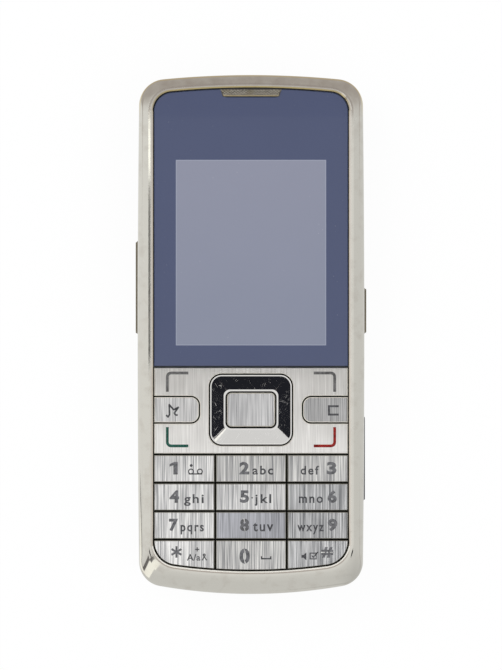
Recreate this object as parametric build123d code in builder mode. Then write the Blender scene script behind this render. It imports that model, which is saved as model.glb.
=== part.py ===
from build123d import *
import math
import os

# Bar phone with a metal bezel, a colour display and a brushed metal keypad.
# It lies on its back: +Z comes out of the screen, +Y runs towards the earpiece, +X to the right.
# The origin is under the middle of the phone, on the surface it rests on. Sizes are in millimetres.

# ---------------------------------------------------------------- driving dimensions: outside
body_length = 108.0
body_width = 47.2
body_thickness = 13.2
front_depth = 5.0  # depth of the bezel, from its crest to the seam with the back shell
top_bow_radius = 190.0
bottom_bow_radius = 110.0
side_bow_radius = 4000.0
top_corner_radius = 5.6
bottom_corner_radius = 5.2
shell_step = 0.1  # the back shell stands in by this much under the bezel
wall = 1.2
seam_gap = 0.05  # between glued or clamped pieces
slip_gap = 0.15  # round pieces that are pushed, slid or swung
key_gap = 0.36  # between neighbouring keys
opening_gap = 0.24  # between the bezel's opening and what stands in it
seal_gap = 0.3  # round inner parts that drop into a bay
least_radius = 0.3

# ---------------------------------------------------------------- driving dimensions: bezel
bezel_side_width = 3.25
bezel_top_width = 2.8
bezel_bottom_width = 4.9
opening_top_radius = 175.0
opening_bottom_radius = 117.0
opening_top_corner = 4.15
opening_bottom_corner = 5.15
lip_width = 0.8  # bright inner lip beside the opening
lip_drop = 0.4
shoulder_drop = 2.6  # from the crest down to where the side wall starts to roll over
roll_fullness = 1.2  # 1 rolls over as a quarter ellipse, and more keeps the face sloping
roll_steps = 6

# ---------------------------------------------------------------- driving dimensions: front stack
deck_drop = 1.75  # from the crest down to the inner frame's deck
deck_thickness = 0.8
window_thickness = 1.15
window_edge = 0.12
key_drop = 0.7  # from the crest down to the keys
key_cap_thickness = 0.9
keymat_drop = 0.25  # from the deck's underside down to the mat
keymat_thickness = 0.5
keymat_reach = 0.6  # beyond the bezel's opening
keymat_pad_height = 0.6
pcb_drop = 2.75  # from the deck's top down to the circuit board
pcb_thickness = 0.8
pcb_margin = 2.35
dome_sheet_thickness = 0.15
dome_height = 0.3
dome_radius = 2.0
dome_sheet_inset = 0.4
nub_radius = 1.0
nub_gap = 0.08
frame_wall = 0.8

# ---------------------------------------------------------------- driving dimensions: display
display_side_margin = 4.75  # from the bezel's opening to the visible display
display_top_margin = 14.98
display_bottom_margin = 4.42  # from the window's lower edge
aperture_margin = 1.2  # round the visible display, in the deck
lcd_side_margin = 2.4  # round the visible display, in the glass
lcd_end_margin = 3.25
lcd_thickness = 0.65
lcd_ledge = 2.8  # driver ledge that the upper glass leaves bare
lcd_gasket_width = 1.2
backlight_thickness = 0.6
lcd_tray_wall = 0.25
lcd_tray_floor = 0.2
lcd_tray_bar = 5.0
connector_size = (14.0, 2.6, 0.9)
connector_slot = (12.4, 1.0, 0.3)
connector_gap = 1.05
flex_width = 12.0
flex_thickness = 0.12
flex_rise = 0.35  # from the circuit board to where the film leaves the tray

# ---------------------------------------------------------------- driving dimensions: earpiece
earpiece_top_width = 12.4
earpiece_bottom_width = 10.6
earpiece_depth = 1.9
earpiece_slot = (9.0, 1.1)
mesh_drop = 0.35  # from the window's face down to the mesh
mesh_thickness = 0.4
mesh_rim = 0.35
mesh_corner = 0.4
mesh_rows = 2
mesh_hole = 0.32
mesh_pitch = 0.56
earpiece_speaker_size = (13.0, 6.0)
earpiece_speaker_corner = 1.4
earpiece_speaker_rim = 1.1
earpiece_speaker_from_opening = 3.62
earpiece_speaker_recess = 0.25
gasket_thickness = 0.3

# ---------------------------------------------------------------- driving dimensions: keypad
key_columns = 3
key_rows = 4
key_split_x = 7.42  # middle of the gap between two columns
key_row_pitch = 5.89
last_row_extra = 0.68  # the lowest row reaches this much further, to the bowed bezel
key_edge = 0.14
carrier_step = 0.6  # the keys' plastic carriers stand in by this much
pad_step = 0.9  # and the mat's pads by this much
plate_band = 18.16  # from the keypad up to the window
nav_above_keypad = 9.26
plate_thickness = 0.8
ring_width = 16.9
ring_height = 14.4
ring_corner = 2.4
ring_rim_rise = 0.6  # above the keys
ring_land_drop = 0.05
ring_land_width = 0.25
ring_rim_width = 0.35
select_width = 9.95
select_height = 7.05
select_corner = 0.95
select_rise = 0.35
select_edge = 0.2
select_step = 0.7
select_pad_height = 0.2
wing_strip = 2.4  # plate left between the ring and a wing key
wing_height = 5.2
wing_gap = 0.3  # between the plate and a wing key
wing_corner = 1.65
carrier_thickness = 0.4
pivot_gap = 0.05
pivot_width = 0.5
pivot_length = 2.0
rock_gap = 0.3  # free height for a rocking piece above and below
flange_overlap = 0.55
ring_gap = 0.3  # between the ring and the plate
select_gap = 0.33  # between the select key and the ring
carrier_inset = 0.2
carrier_gap = 0.25  # between the ring's flange and the plate's carrier
softkey_carrier_thickness = 0.6
softkey_pad_size = (6.0, 2.0)

# ---------------------------------------------------------------- driving dimensions: edges
side_part_reach = 0.3  # how far the edge keys stand out
edge_key_height = 3.0
edge_key_below_pcb = 2.0  # from the circuit board down to the keys' middle
edge_key_round = 0.25
edge_key_seat = 0.4  # between the wall and an edge key's flange
edge_key_flange = 0.6
edge_key_flange_depth = 0.5
rocker_length = 19.5
rocker_from_top = 44.16
side_key_length = 9.6
side_key_from_top = 49.03
switch_depth = 2.75  # from the side of the phone to the switches' buttons
switch_size = (1.6, 3.4, 0.9)
switch_button = (0.3, 1.4, 1.2)
switch_spread = 6.0  # the rocker's two switches, from its middle
nub_clearance = 0.35  # between an edge key and its switch
nub_width = 1.2
ridge_width = 0.8  # the rocker's pivot, which bears on a tongue of the deck
ridge_overrun = 0.2
tongue_width = 1.6
port_cover_length = 17.7
port_cover_from_top = 71.0
port_cover_height = 4.5
port_cover_below_pcb = 2.6
port_cover_thickness = 0.9
port_cover_reach = 0.25
port_cover_round = 0.4
port_plug_depth = 0.55
port_plug_margin = (1.0, 0.8)
knuckle_radius = 0.45
hinge_pin_radius = 0.25
hinge_pin_length = 0.5

# ---------------------------------------------------------------- driving dimensions: back
back_edge_radius = 3.0
inner_bevel_share = 0.6  # inner bevel of the shell, as a share of the round outside it
cover_thickness = 0.9
cover_margin = 3.4  # from the phone's side to the battery cover
cover_from_top = 22.0
cover_lip_height = 3.5
cover_stroke = 5.0
grip_ribs = 5
grip_pitch = 1.6
grip_size = (14.0, 0.7, 0.2)
grip_from_cover_top = 6.0
hook_count = 3
hook_length = 4.0
hook_stem = 0.7
hook_reach = 0.8
hook_height = 0.8
hook_from_cover_ends = (12.0, 11.0)
rail_margin = 3.9  # from the phone's side to a rail's inner edge
rail_thickness = 0.95
rail_from_cover_ends = (2.0, 1.0)
battery_length = 46.0
battery_from_cover = 1.5
battery_corner = 1.2
battery_edge = 0.4
bay_wall = 0.8
deck_below_pcb = 1.3
rear_deck_thickness = 0.8
ledge_width = 1.7

# ---------------------------------------------------------------- driving dimensions: inner parts
sim_length = 25.0
sim_width = 15.0
sim_thickness = 0.76
sim_corner = 2.5
sim_centre_x = -4.0
sim_drop = 0.35  # from the deck down to the card
sim_gap = 0.45  # between the battery contacts and the card's holder
sim_holder_margin = 0.9
sim_holder_sheet = 0.3
sim_holder_lips = (4.0, 1.5)
sim_end_gap = 0.2
contacts_size = (9.0, 2.4)
contacts_from_battery_side = 9.0
contacts_bottom = 2.2
contacts_shoulder = 0.5
blade_pitch = 2.6
blade_width = 0.9
usb_size = (9.0, 7.7, 3.9)
usb_margin = 1.6  # from the phone's side to the socket's mouth
usb_below_port_top = 10.7
usb_wall = 0.35
usb_corner = 0.9
usb_back_wall = 1.5
usb_tongue = (5.0, 0.8)
usb_tongue_drop = 1.2
speaker_thickness = 3.4
speaker_centre_x = 2.5
speaker_seat_wall = 0.7
speaker_seat_height = 2.2
speaker_slot = (8.0, 0.9)
speaker_slot_pitch = 2.0
speaker_slots_count = 5
speaker_rim = 0.9
speaker_recess = 0.4
speaker_contact = (1.2, 2.4)
speaker_contact_pitch = 6.0
top_bay_gap = 0.6
camera_from_side = 11.5
camera_base = 8.6
camera_body = 7.4
camera_base_height = 2.5
camera_body_height = 2.4
camera_barrel_radius = 2.7
camera_window_radius = 3.1
camera_window_thickness = 0.45
camera_ring_radius = 4.4
camera_ring_drop = 0.1
camera_ring_bevel = 0.2
camera_seat_depth = 0.8
camera_lens_cone = (1.7, 0.9, 0.6)
motor_radius = 2.2
motor_from_side = 8.2
motor_from_wall = 1.7
motor_rise = 1.0  # above the back's inner face
motor_shaft_radius = 0.4
motor_foot = (2.4, 1.6)
motor_foot_sink = 0.6
cradle_wall = 0.9
cradle_thickness = 1.2
cradle_snap = 0.2
weight_length = 2.8
weight_radius = 2.0
weight_gap = 0.35
weight_hub_wall = 0.5
microphone_radius = 1.9
microphone_boot_wall = 0.5
microphone_from_side = 12.1
microphone_from_bottom = 6.2
sound_port_size = 0.9
shield_height = 1.1
shield_wall = 0.2
shield_split = (4.0, 6.5)
shield_from_side = 7.1
shield_from_deck_end = 4.7
shield_upper_length = 33.0
shield_from_bottom = 14.0
shield_from_contacts = 2.05
shield_from_usb = 3.5
antenna_size = (22.0, 3.0)
antenna_from_top = 5.2
antenna_thickness = 0.2
antenna_slot = 0.7
antenna_pitch = 4.4
antenna_web = 1.2
antenna_leg_width = 2.0
antenna_leg_inset = 0.2
screw_from_side = 6.3
screw_from_top = 6.0
screw_from_bottom = 4.4
bottom_screw_rise = 2.0  # head seat above the battery cover's space
screw_shank_radius = 0.7
screw_head_radius = 1.35
screw_head_height = 1.0
screw_recess = (1.6, 0.4, 0.5)
screw_clearance = 0.1
screw_end_gap = 0.4
pcb_hole_radius = 1.05
boss_radius = 1.55
rear_boss_radius = 2.1

# ---------------------------------------------------------------- worked out: heights
parting_height = body_thickness - front_depth
deck_top = body_thickness - deck_drop
deck_bottom = deck_top - deck_thickness
shoulder_height = body_thickness - shoulder_drop
lip_height = body_thickness - lip_drop
window_top = deck_top + window_thickness
mesh_level = window_top - mesh_drop - mesh_thickness
key_top = body_thickness - key_drop
key_bottom = key_top - key_cap_thickness
keymat_top = deck_bottom - keymat_drop
keymat_bottom = keymat_top - keymat_thickness
keymat_pad_top = keymat_top + keymat_pad_height
pcb_top = deck_top - pcb_drop
pcb_bottom = pcb_top - pcb_thickness
dome_base = pcb_top + dome_sheet_thickness
nub_bottom = dome_base + dome_height + nub_gap
plate_bottom = key_top - plate_thickness
nav_carrier_bottom = keymat_top + pivot_gap
nav_carrier_top = nav_carrier_bottom + carrier_thickness
flange_bottom = nav_carrier_top + rock_gap
flange_top = plate_bottom - rock_gap
ring_edge_height = key_top - ring_land_drop
ring_rim_height = key_top + ring_rim_rise
select_top = key_top + select_rise
softkey_carrier_top = plate_bottom - rock_gap - pivot_gap
softkey_carrier_bottom = softkey_carrier_top - softkey_carrier_thickness
edge_key_centre_z = pcb_bottom - edge_key_below_pcb
port_cover_centre_z = pcb_bottom - port_cover_below_pcb
rear_deck_top = pcb_bottom - deck_below_pcb
rear_deck_bottom = rear_deck_top - rear_deck_thickness
bay_floor = cover_thickness + slip_gap
rail_top = bay_floor + rail_thickness
hook_bottom = rail_top + slip_gap
hook_top = hook_bottom + hook_height
battery_bottom = bay_floor + seam_gap
battery_thickness = rear_deck_bottom - battery_bottom - 2 * seam_gap
sound_port_height = rear_deck_top + (pcb_bottom - rear_deck_top) / 2
motor_axis_z = wall + motor_rise + motor_radius
screw_hole_radius = screw_shank_radius + screw_clearance
head_hole_radius = screw_head_radius + screw_clearance

# ---------------------------------------------------------------- worked out: places from side to side
half_width = body_width / 2
opening_half_width = half_width - bezel_side_width
display_width = 2 * (opening_half_width - display_side_margin)
lcd_glass_width = display_width + 2 * lcd_side_margin
wing_inner_x = ring_width / 2 + wing_strip
wing_length = opening_half_width - wing_inner_x
ring_hole_width = select_width + 2 * select_gap
switch_face_x = half_width - switch_depth
rocker_pivot_x = switch_face_x + slip_gap
pocket_inner_x = switch_face_x - switch_button[0] - switch_size[0] - seal_gap
cover_width = 2 * (half_width - cover_margin)
rail_inner_x = half_width - rail_margin
hook_inner_x = rail_inner_x - slip_gap - hook_stem
hook_outer_x = rail_inner_x + hook_reach
battery_width = 2 * (hook_inner_x - 5 * slip_gap - bay_wall - seal_gap)
usb_mouth_x = half_width - usb_margin
camera_centre_x = camera_from_side - half_width
motor_centre_x = half_width - motor_from_side
screw_x = half_width - screw_from_side
microphone_centre_x = half_width - microphone_from_side
contacts_centre_x = battery_width / 2 - contacts_from_battery_side

# ---------------------------------------------------------------- worked out: places along the phone
half_length = body_length / 2
opening_top_y = half_length - bezel_top_width
opening_bottom_y = -half_length + bezel_bottom_width
keypad_top_y = opening_bottom_y + key_rows * key_row_pitch + last_row_extra
window_bottom_y = keypad_top_y + plate_band
plate_top_y = window_bottom_y - key_gap / 2
plate_bottom_y = keypad_top_y + key_gap / 2
nav_centre_y = keypad_top_y + nav_above_keypad
ring_hole_height = select_height + 2 * select_gap
display_top_y = opening_top_y - display_top_margin
display_bottom_y = window_bottom_y + display_bottom_margin
display_height = display_top_y - display_bottom_y
display_centre_y = (display_top_y + display_bottom_y) / 2
lcd_glass_height = display_height + 2 * lcd_end_margin
earpiece_speaker_y = opening_top_y - earpiece_speaker_from_opening
rocker_centre_y = half_length - rocker_from_top
side_key_centre_y = half_length - side_key_from_top
port_cover_top_y = half_length - port_cover_from_top
port_low_y = port_cover_top_y - port_cover_length
usb_y = port_cover_top_y - usb_below_port_top
cover_top_y = half_length - cover_from_top
cover_end_y = -half_length - back_edge_radius
lip_end_y = -half_length + back_edge_radius
rear_deck_y = cover_top_y - seal_gap
battery_top_y = cover_top_y - battery_from_cover
battery_bottom_y = battery_top_y - battery_length
battery_centre_y = (battery_top_y + battery_bottom_y) / 2
contacts_centre_y = battery_bottom_y - seal_gap - bay_wall - slip_gap - contacts_size[1] / 2
sim_centre_y = contacts_centre_y - contacts_size[1] / 2 - sim_gap - sim_holder_margin - sim_width / 2
first_hook_y = lip_end_y + hook_from_cover_ends[1]
hook_pitch = (cover_top_y - hook_from_cover_ends[0] - first_hook_y) / (hook_count - 1)
hook_places = [first_hook_y + hook_pitch * step for step in range(hook_count)]
antenna_centre_y = half_length - antenna_from_top
screw_places = [
    (side * screw_x, y)
    for y in (half_length - screw_from_top, -half_length + screw_from_bottom)
    for side in (-1, 1)
]
speaker_seat_y = (rear_deck_y + top_bay_gap, antenna_centre_y - antenna_size[1] / 2 - seal_gap)
speaker_centre = (speaker_centre_x, sum(speaker_seat_y) / 2)
speaker_radius = (speaker_seat_y[1] - speaker_seat_y[0]) / 2 - speaker_seat_wall - slip_gap
camera_centre = (camera_centre_x, speaker_centre[1] + top_bay_gap)
motor_start_y = rear_deck_y + motor_from_wall
weight_end_y = half_length - screw_from_top - rear_boss_radius - 5 * slip_gap
weight_y = (weight_end_y - weight_length, weight_end_y)
motor_y = (motor_start_y, weight_y[0] - weight_gap)
microphone_centre = (microphone_centre_x, -half_length + microphone_from_bottom)




# ---------------------------------------------------------------- shared outlines and forms
def bowed_outline(width, top, bottom, bows, corners, height, inset=0.0):
    """Face at one height, bounded by shallow arcs that meet in rounded corners."""
    top_radius, side_radius, bottom_radius = bows
    top_corner, bottom_corner = corners
    with BuildSketch(Plane.XY.offset(height)) as face:
        with Locations((0, top - top_radius)):
            Circle(top_radius - inset)
        with Locations((0, bottom + bottom_radius)):
            Circle(bottom_radius - inset, mode=Mode.INTERSECT)
        if side_radius is None:
            Rectangle(2 * (width - inset), 2 * body_length, mode=Mode.INTERSECT)
        else:
            # Each side circle is turned so that its seam lies far from the phone.
            for side, turn in ((1, 180), (-1, 0)):
                with Locations(Location((side * (width - side_radius), 0), turn)):
                    Circle(side_radius - inset, mode=Mode.INTERSECT)
        corner_points = face.vertices().group_by(Axis.Y)
        fillet(corner_points[-1], max(top_corner - inset, least_radius))
        corner_points = face.vertices().group_by(Axis.Y)
        fillet(corner_points[0], max(bottom_corner - inset, least_radius))
    return face.sketch


def body_outline(height, inset=0.0):
    """The phone's outer outline, stepped in by inset."""
    return bowed_outline(
        half_width,
        half_length,
        -half_length,
        (top_bow_radius, side_bow_radius, bottom_bow_radius),
        (top_corner_radius, bottom_corner_radius),
        height,
        inset,
    )


def opening_outline(height, inset=0.0):
    """The opening in the bezel, stepped in by inset, or out where inset is negative."""
    return bowed_outline(
        opening_half_width,
        opening_top_y,
        opening_bottom_y,
        (opening_top_radius, None, opening_bottom_radius),
        (opening_top_corner, opening_bottom_corner),
        height,
        inset,
    )


def bezel_outline(share, height):
    """Outline between the body's edge, at share 0, and the crest beside the lip, at share 1."""

    def between(outer, inner):
        return outer + (inner - outer) * share

    return bowed_outline(
        between(half_width, opening_half_width + lip_width),
        between(half_length, opening_top_y + lip_width),
        between(-half_length, opening_bottom_y - lip_width),
        (
            between(top_bow_radius, opening_top_radius + lip_width),
            side_bow_radius / (1 - share) if share < 1 else None,
            between(bottom_bow_radius, opening_bottom_radius + lip_width),
        ),
        (
            between(top_corner_radius, opening_top_corner + lip_width),
            between(bottom_corner_radius, opening_bottom_corner + lip_width),
        ),
        height,
    )


def rolled_section(step):
    """Outline of the bezel where its face has rolled over by some of roll_steps."""
    turn = math.pi / 2 * step / roll_steps
    share = 1 if step == roll_steps else 1 - math.cos(turn)
    rise = math.sin(turn) ** roll_fullness
    return bezel_outline(share, shoulder_height + shoulder_drop * rise)


def rear_form(inset):
    """Solid shape of the back shell, stepped in by inset on its sides and its back."""
    edge = back_edge_radius - inset
    with BuildPart() as form:
        extrude(body_outline(inset, shell_step + inset), amount=parting_height - inset)
        bottom_edges = form.faces().sort_by(Axis.Z)[0].edges()
        if inset:
            chamfer(bottom_edges, inner_bevel_share * edge)
        else:
            fillet(bottom_edges, edge)
    return form.part


def block(x_range, y_range, z_range, mode=Mode.ADD):
    """Box between two values on each axis, in the part that is being built."""
    centre = [sum(limits) / 2 for limits in (x_range, y_range, z_range)]
    size = [limits[1] - limits[0] for limits in (x_range, y_range, z_range)]
    with Locations(tuple(centre)):
        Box(*size, mode=mode)


def disc(place, radius, z_range, mode=Mode.ADD):
    """Upright cylinder between two heights, in the part that is being built."""
    with Locations((*place, sum(z_range) / 2)):
        Cylinder(radius, z_range[1] - z_range[0], mode=mode)


def post(place, radii, z_range, mode=Mode.ADD, sides=8):
    """Many-sided post or taper between two heights, for what is small, hidden and repeats."""
    sections = []
    for radius, height in zip(radii, z_range):
        with BuildSketch(Plane.XY.offset(height)) as section:
            with Locations(place):
                RegularPolygon(radius, sides)
        sections.append(section.sketch)
    loft(sections, ruled=True, mode=mode)


def about(centre, size):
    """The two limits of a length laid evenly about a centre."""
    return (centre - size / 2, centre + size / 2)


def rounded(centre, width, height, corner, level):
    """Rounded rectangle at one height."""
    with BuildSketch(Plane.XY.offset(level)) as face:
        with Locations(centre):
            RectangleRounded(width, height, corner)
    return face.sketch


def cornered(centre, width, height, corner, level):
    """Rectangle at one height, with corners cut as deep as rounds of that radius."""
    with BuildSketch(Plane.XY.offset(level)) as face:
        with Locations(centre):
            Rectangle(width, height)
        chamfer(face.vertices(), corner * (2 - math.sqrt(2)))
    return face.sketch


def write(builder, name):
    """Labels one finished piece and writes it to its own file."""
    builder.part.label = name
    export_step(builder.part, f"parts/{name}.step")


os.makedirs("parts", exist_ok=True)

# ---------------------------------------------------------------- front bezel
with BuildPart() as front_bezel:
    extrude(
        body_outline(parting_height + seam_gap),
        amount=shoulder_height - parting_height - seam_gap,
    )
    # The side wall rolls over in even turns, up to the crest beside the lip.
    loft([rolled_section(step) for step in range(roll_steps + 1)], ruled=True)
    # Hollow that takes the inner frame, then the opening and its bright lip.
    extrude(
        body_outline(parting_height, wall),
        amount=deck_top + seam_gap - parting_height,
        mode=Mode.SUBTRACT,
    )
    extrude(opening_outline(deck_top), amount=body_thickness - deck_top, mode=Mode.SUBTRACT)
    loft(
        [opening_outline(lip_height), opening_outline(body_thickness, -lip_width)],
        ruled=True,
        mode=Mode.SUBTRACT,
    )
write(front_bezel, "front_bezel")

# ---------------------------------------------------------------- inner frame
frame_inset = wall + slip_gap
lcd_slot = (display_width + 2 * aperture_margin, display_height + 2 * aperture_margin)
earpiece_centre_y = opening_top_y - opening_gap / 2 - earpiece_depth / 2
with BuildPart() as front_frame:
    extrude(body_outline(deck_bottom, frame_inset), amount=deck_thickness)
    extrude(
        body_outline(pcb_bottom, frame_inset) - body_outline(pcb_bottom, frame_inset + frame_wall),
        amount=deck_bottom - pcb_bottom,
    )
    for place in screw_places:
        post(place, (boss_radius, boss_radius), (pcb_top + seam_gap, deck_bottom))
    # Apertures: display, keypad and the slot under the earpiece mesh.
    block(
        about(0, lcd_slot[0]),
        about(display_centre_y, lcd_slot[1]),
        (deck_bottom, deck_top),
        mode=Mode.SUBTRACT,
    )
    with BuildSketch(Plane.XY.offset(deck_bottom)) as keypad_aperture:
        add(opening_outline(0))
        with Locations((0, window_bottom_y + half_length)):
            Rectangle(body_width, 2 * half_length, mode=Mode.SUBTRACT)
    extrude(amount=deck_thickness, mode=Mode.SUBTRACT)
    block(
        about(0, earpiece_slot[0]),
        about(earpiece_centre_y, earpiece_slot[1]),
        (deck_bottom, deck_top),
        mode=Mode.SUBTRACT,
    )
    for place in screw_places:
        post(place, (screw_hole_radius, screw_hole_radius), (pcb_top, deck_bottom), mode=Mode.SUBTRACT)
write(front_frame, "front_frame")


# ---------------------------------------------------------------- display window and earpiece
def earpiece_notch(level, grow=0.0):
    """Tapered notch at the top edge of the window, for the earpiece mesh."""
    top_half = earpiece_top_width / 2 + grow
    bottom_half = earpiece_bottom_width / 2 + grow
    low_y = opening_top_y - earpiece_depth - grow
    with BuildSketch(Plane.XY.offset(level)) as notch:
        with BuildLine():
            Polyline(
                (-top_half, opening_top_y + lip_width),
                (-bottom_half, low_y),
                (bottom_half, low_y),
                (top_half, opening_top_y + lip_width),
                close=True,
            )
        make_face()
        fillet(notch.vertices().group_by(Axis.Y)[0], mesh_corner + grow)
    return notch.sketch


with BuildPart() as display_window:
    with BuildSketch(Plane.XY.offset(deck_top)) as window_face:
        add(opening_outline(0, opening_gap))
        with Locations((0, window_bottom_y + key_gap / 2 - half_length)):
            Rectangle(body_width, 2 * half_length, mode=Mode.SUBTRACT)
    extrude(amount=window_thickness)
    extrude(earpiece_notch(deck_top, seam_gap), amount=window_thickness, mode=Mode.SUBTRACT)
    chamfer(display_window.faces().sort_by(Axis.Z)[-1].edges(), window_edge)
write(display_window, "display_window")

with BuildPart() as earpiece_mesh:
    with BuildSketch(Plane.XY.offset(deck_top)) as mesh_face:
        add(earpiece_notch(0))
        add(opening_outline(0, opening_gap), mode=Mode.INTERSECT)
    extrude(amount=mesh_level + mesh_thickness - deck_top)
    # The mesh is a shallow cap: a rim stands on the deck and the pierced sheet closes it.
    sheet_size = (earpiece_bottom_width - 2 * mesh_rim, earpiece_depth - 2 * mesh_rim)
    block(
        about(0, sheet_size[0]),
        about(earpiece_centre_y, sheet_size[1] - opening_gap),
        (deck_top, mesh_level),
        mode=Mode.SUBTRACT,
    )
    with Locations((0, earpiece_centre_y, mesh_level + mesh_thickness / 2)):
        with GridLocations(mesh_pitch, mesh_pitch, int(sheet_size[0] / mesh_pitch), mesh_rows):
            Box(mesh_hole, mesh_hole, mesh_thickness, mode=Mode.SUBTRACT)
write(earpiece_mesh, "earpiece_mesh")

speaker_level = pcb_top + seam_gap
gasket_level = deck_bottom - gasket_thickness
earpiece_bore = (
    earpiece_speaker_size[0] - 2 * earpiece_speaker_rim,
    earpiece_speaker_size[1] - 2 * earpiece_speaker_rim,
    earpiece_speaker_corner - earpiece_speaker_rim / 2,
)
with BuildPart() as earpiece_speaker:
    extrude(
        cornered((0, earpiece_speaker_y), *earpiece_speaker_size, earpiece_speaker_corner, speaker_level),
        amount=gasket_level - speaker_level,
    )
    extrude(
        cornered((0, earpiece_speaker_y), *earpiece_bore, gasket_level - earpiece_speaker_recess),
        amount=earpiece_speaker_recess,
        mode=Mode.SUBTRACT,
    )
write(earpiece_speaker, "earpiece_speaker")

with BuildPart() as earpiece_gasket:
    extrude(
        cornered((0, earpiece_speaker_y), *earpiece_speaker_size, earpiece_speaker_corner, gasket_level),
        amount=gasket_thickness,
    )
    extrude(
        cornered((0, earpiece_speaker_y), *earpiece_bore, gasket_level),
        amount=gasket_thickness,
        mode=Mode.SUBTRACT,
    )
write(earpiece_gasket, "earpiece_gasket")

# ---------------------------------------------------------------- display module
tray_bottom = pcb_top + seam_gap
tray_floor = tray_bottom + lcd_tray_floor
backlight_top = tray_floor + backlight_thickness
lcd_bottom = backlight_top + seam_gap
lcd_top = lcd_bottom + lcd_thickness
tray_inside = (lcd_glass_width + 4 * seam_gap, lcd_glass_height + 4 * seam_gap)
tray_size = (tray_inside[0] + 2 * lcd_tray_wall, tray_inside[1] + 2 * lcd_tray_wall)
tray_end_y = display_centre_y + tray_size[1] / 2
with BuildPart() as lcd_frame:
    block(about(0, tray_size[0]), about(display_centre_y, tray_size[1]), (tray_bottom, lcd_top))
    block(
        about(0, tray_inside[0]),
        about(display_centre_y, tray_inside[1]),
        (tray_floor, lcd_top),
        mode=Mode.SUBTRACT,
    )
    # Windows in the tray's floor leave bars between them.
    cell = (lcd_glass_width / 2, lcd_glass_height / 3)
    with Locations((0, display_centre_y, tray_bottom + lcd_tray_floor / 2)):
        with GridLocations(*cell, 2, 3):
            Box(cell[0] - lcd_tray_bar, cell[1] - lcd_tray_bar, lcd_tray_floor, mode=Mode.SUBTRACT)
write(lcd_frame, "lcd_frame")

with BuildPart() as lcd_backlight:
    block(
        about(0, lcd_glass_width),
        about(display_centre_y, lcd_glass_height),
        (tray_floor, backlight_top),
    )
write(lcd_backlight, "lcd_backlight")

with BuildPart() as lcd_panel:
    glass_joint = lcd_bottom + lcd_thickness / 2
    block(
        about(0, lcd_glass_width),
        about(display_centre_y, lcd_glass_height),
        (lcd_bottom, glass_joint),
    )
    # The upper glass is shorter: the driver ledge is left bare at its lower end.
    block(
        about(0, lcd_glass_width),
        about(display_centre_y + lcd_ledge / 2, lcd_glass_height - lcd_ledge),
        (glass_joint, lcd_top),
    )
write(lcd_panel, "lcd_panel")

with BuildPart() as lcd_gasket:
    block(
        about(0, lcd_slot[0] + 2 * lcd_gasket_width),
        about(display_centre_y, lcd_slot[1] + 2 * lcd_gasket_width),
        (lcd_top, deck_bottom),
    )
    block(
        about(0, lcd_slot[0]),
        about(display_centre_y, lcd_slot[1]),
        (lcd_top, deck_bottom),
        mode=Mode.SUBTRACT,
    )
write(lcd_gasket, "lcd_gasket")

connector_y = tray_end_y + connector_gap + connector_size[1] / 2
connector_top = pcb_top + connector_size[2]
with BuildPart() as lcd_connector:
    block(about(0, connector_size[0]), about(connector_y, connector_size[1]), (pcb_top, connector_top))
    block(
        about(0, connector_slot[0]),
        about(connector_y, connector_slot[1]),
        (connector_top - connector_slot[2], connector_top),
        mode=Mode.SUBTRACT,
    )
write(lcd_connector, "lcd_connector")

# The film leaves the tray, climbs the gap in front of the connector and lies on its top.
climb_y = about(tray_end_y + connector_gap / 2, connector_gap / 3)
film_top = connector_top + flex_thickness / 2
with BuildPart() as lcd_flex:
    with BuildSketch(Plane.YZ) as flex_side:
        with BuildLine() as flex_path:
            Polyline(
                (tray_end_y + seam_gap, pcb_top + flex_rise),
                (climb_y[0], pcb_top + flex_rise),
                (climb_y[1], film_top),
                (connector_y + connector_slot[1], film_top),
            )
            offset(amount=flex_thickness / 2, kind=Kind.INTERSECTION)
        make_face()
    extrude(amount=flex_width / 2, both=True)
write(lcd_flex, "lcd_flex")

# ---------------------------------------------------------------- twelve number keys
key_names = ("1", "2", "3", "4", "5", "6", "7", "8", "9", "star", "0", "hash")
column_limits = (
    (-opening_half_width + opening_gap, -key_split_x - key_gap / 2),
    (-key_split_x + key_gap / 2, key_split_x - key_gap / 2),
    (key_split_x + key_gap / 2, opening_half_width - opening_gap),
)


def row_limits(row):
    """Lower and upper edge of one row of keys."""
    top = keypad_top_y - row * key_row_pitch - key_gap / 2
    bottom = keypad_top_y - (row + 1) * key_row_pitch + key_gap / 2
    return (min(bottom, opening_bottom_y) if row == key_rows - 1 else bottom, top)


def key_face(row, column, height, inset=0.0):
    """Outline of one number key, which follows the bezel where it meets it."""
    left, right = column_limits[column]
    low, high = row_limits(row)
    with BuildSketch(Plane.XY.offset(height)) as face:
        with Locations(((left + right) / 2, (low + high) / 2)):
            Rectangle(right - left - 2 * inset, high - low - 2 * inset)
        add(opening_outline(0, opening_gap + inset), mode=Mode.INTERSECT)
    return face.sketch


def number_key(row, column):
    """Metal cap with a bevelled edge on a plastic carrier that is glued to the mat."""
    with BuildPart() as key:
        extrude(key_face(row, column, key_bottom), amount=key_cap_thickness)
        chamfer(key.faces().sort_by(Axis.Z)[-1].edges(), key_edge)
        extrude(
            key_face(row, column, keymat_pad_top, carrier_step),
            amount=key_bottom - keymat_pad_top,
        )
    return key


key_centres = []
for number, name in enumerate(key_names):
    key_row, key_column = divmod(number, key_columns)
    number_key_part = number_key(key_row, key_column)
    write(number_key_part, f"key_{name}")
    key_low, key_high = row_limits(key_row)
    key_centres.append((sum(column_limits[key_column]) / 2, (key_low + key_high) / 2))


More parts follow.
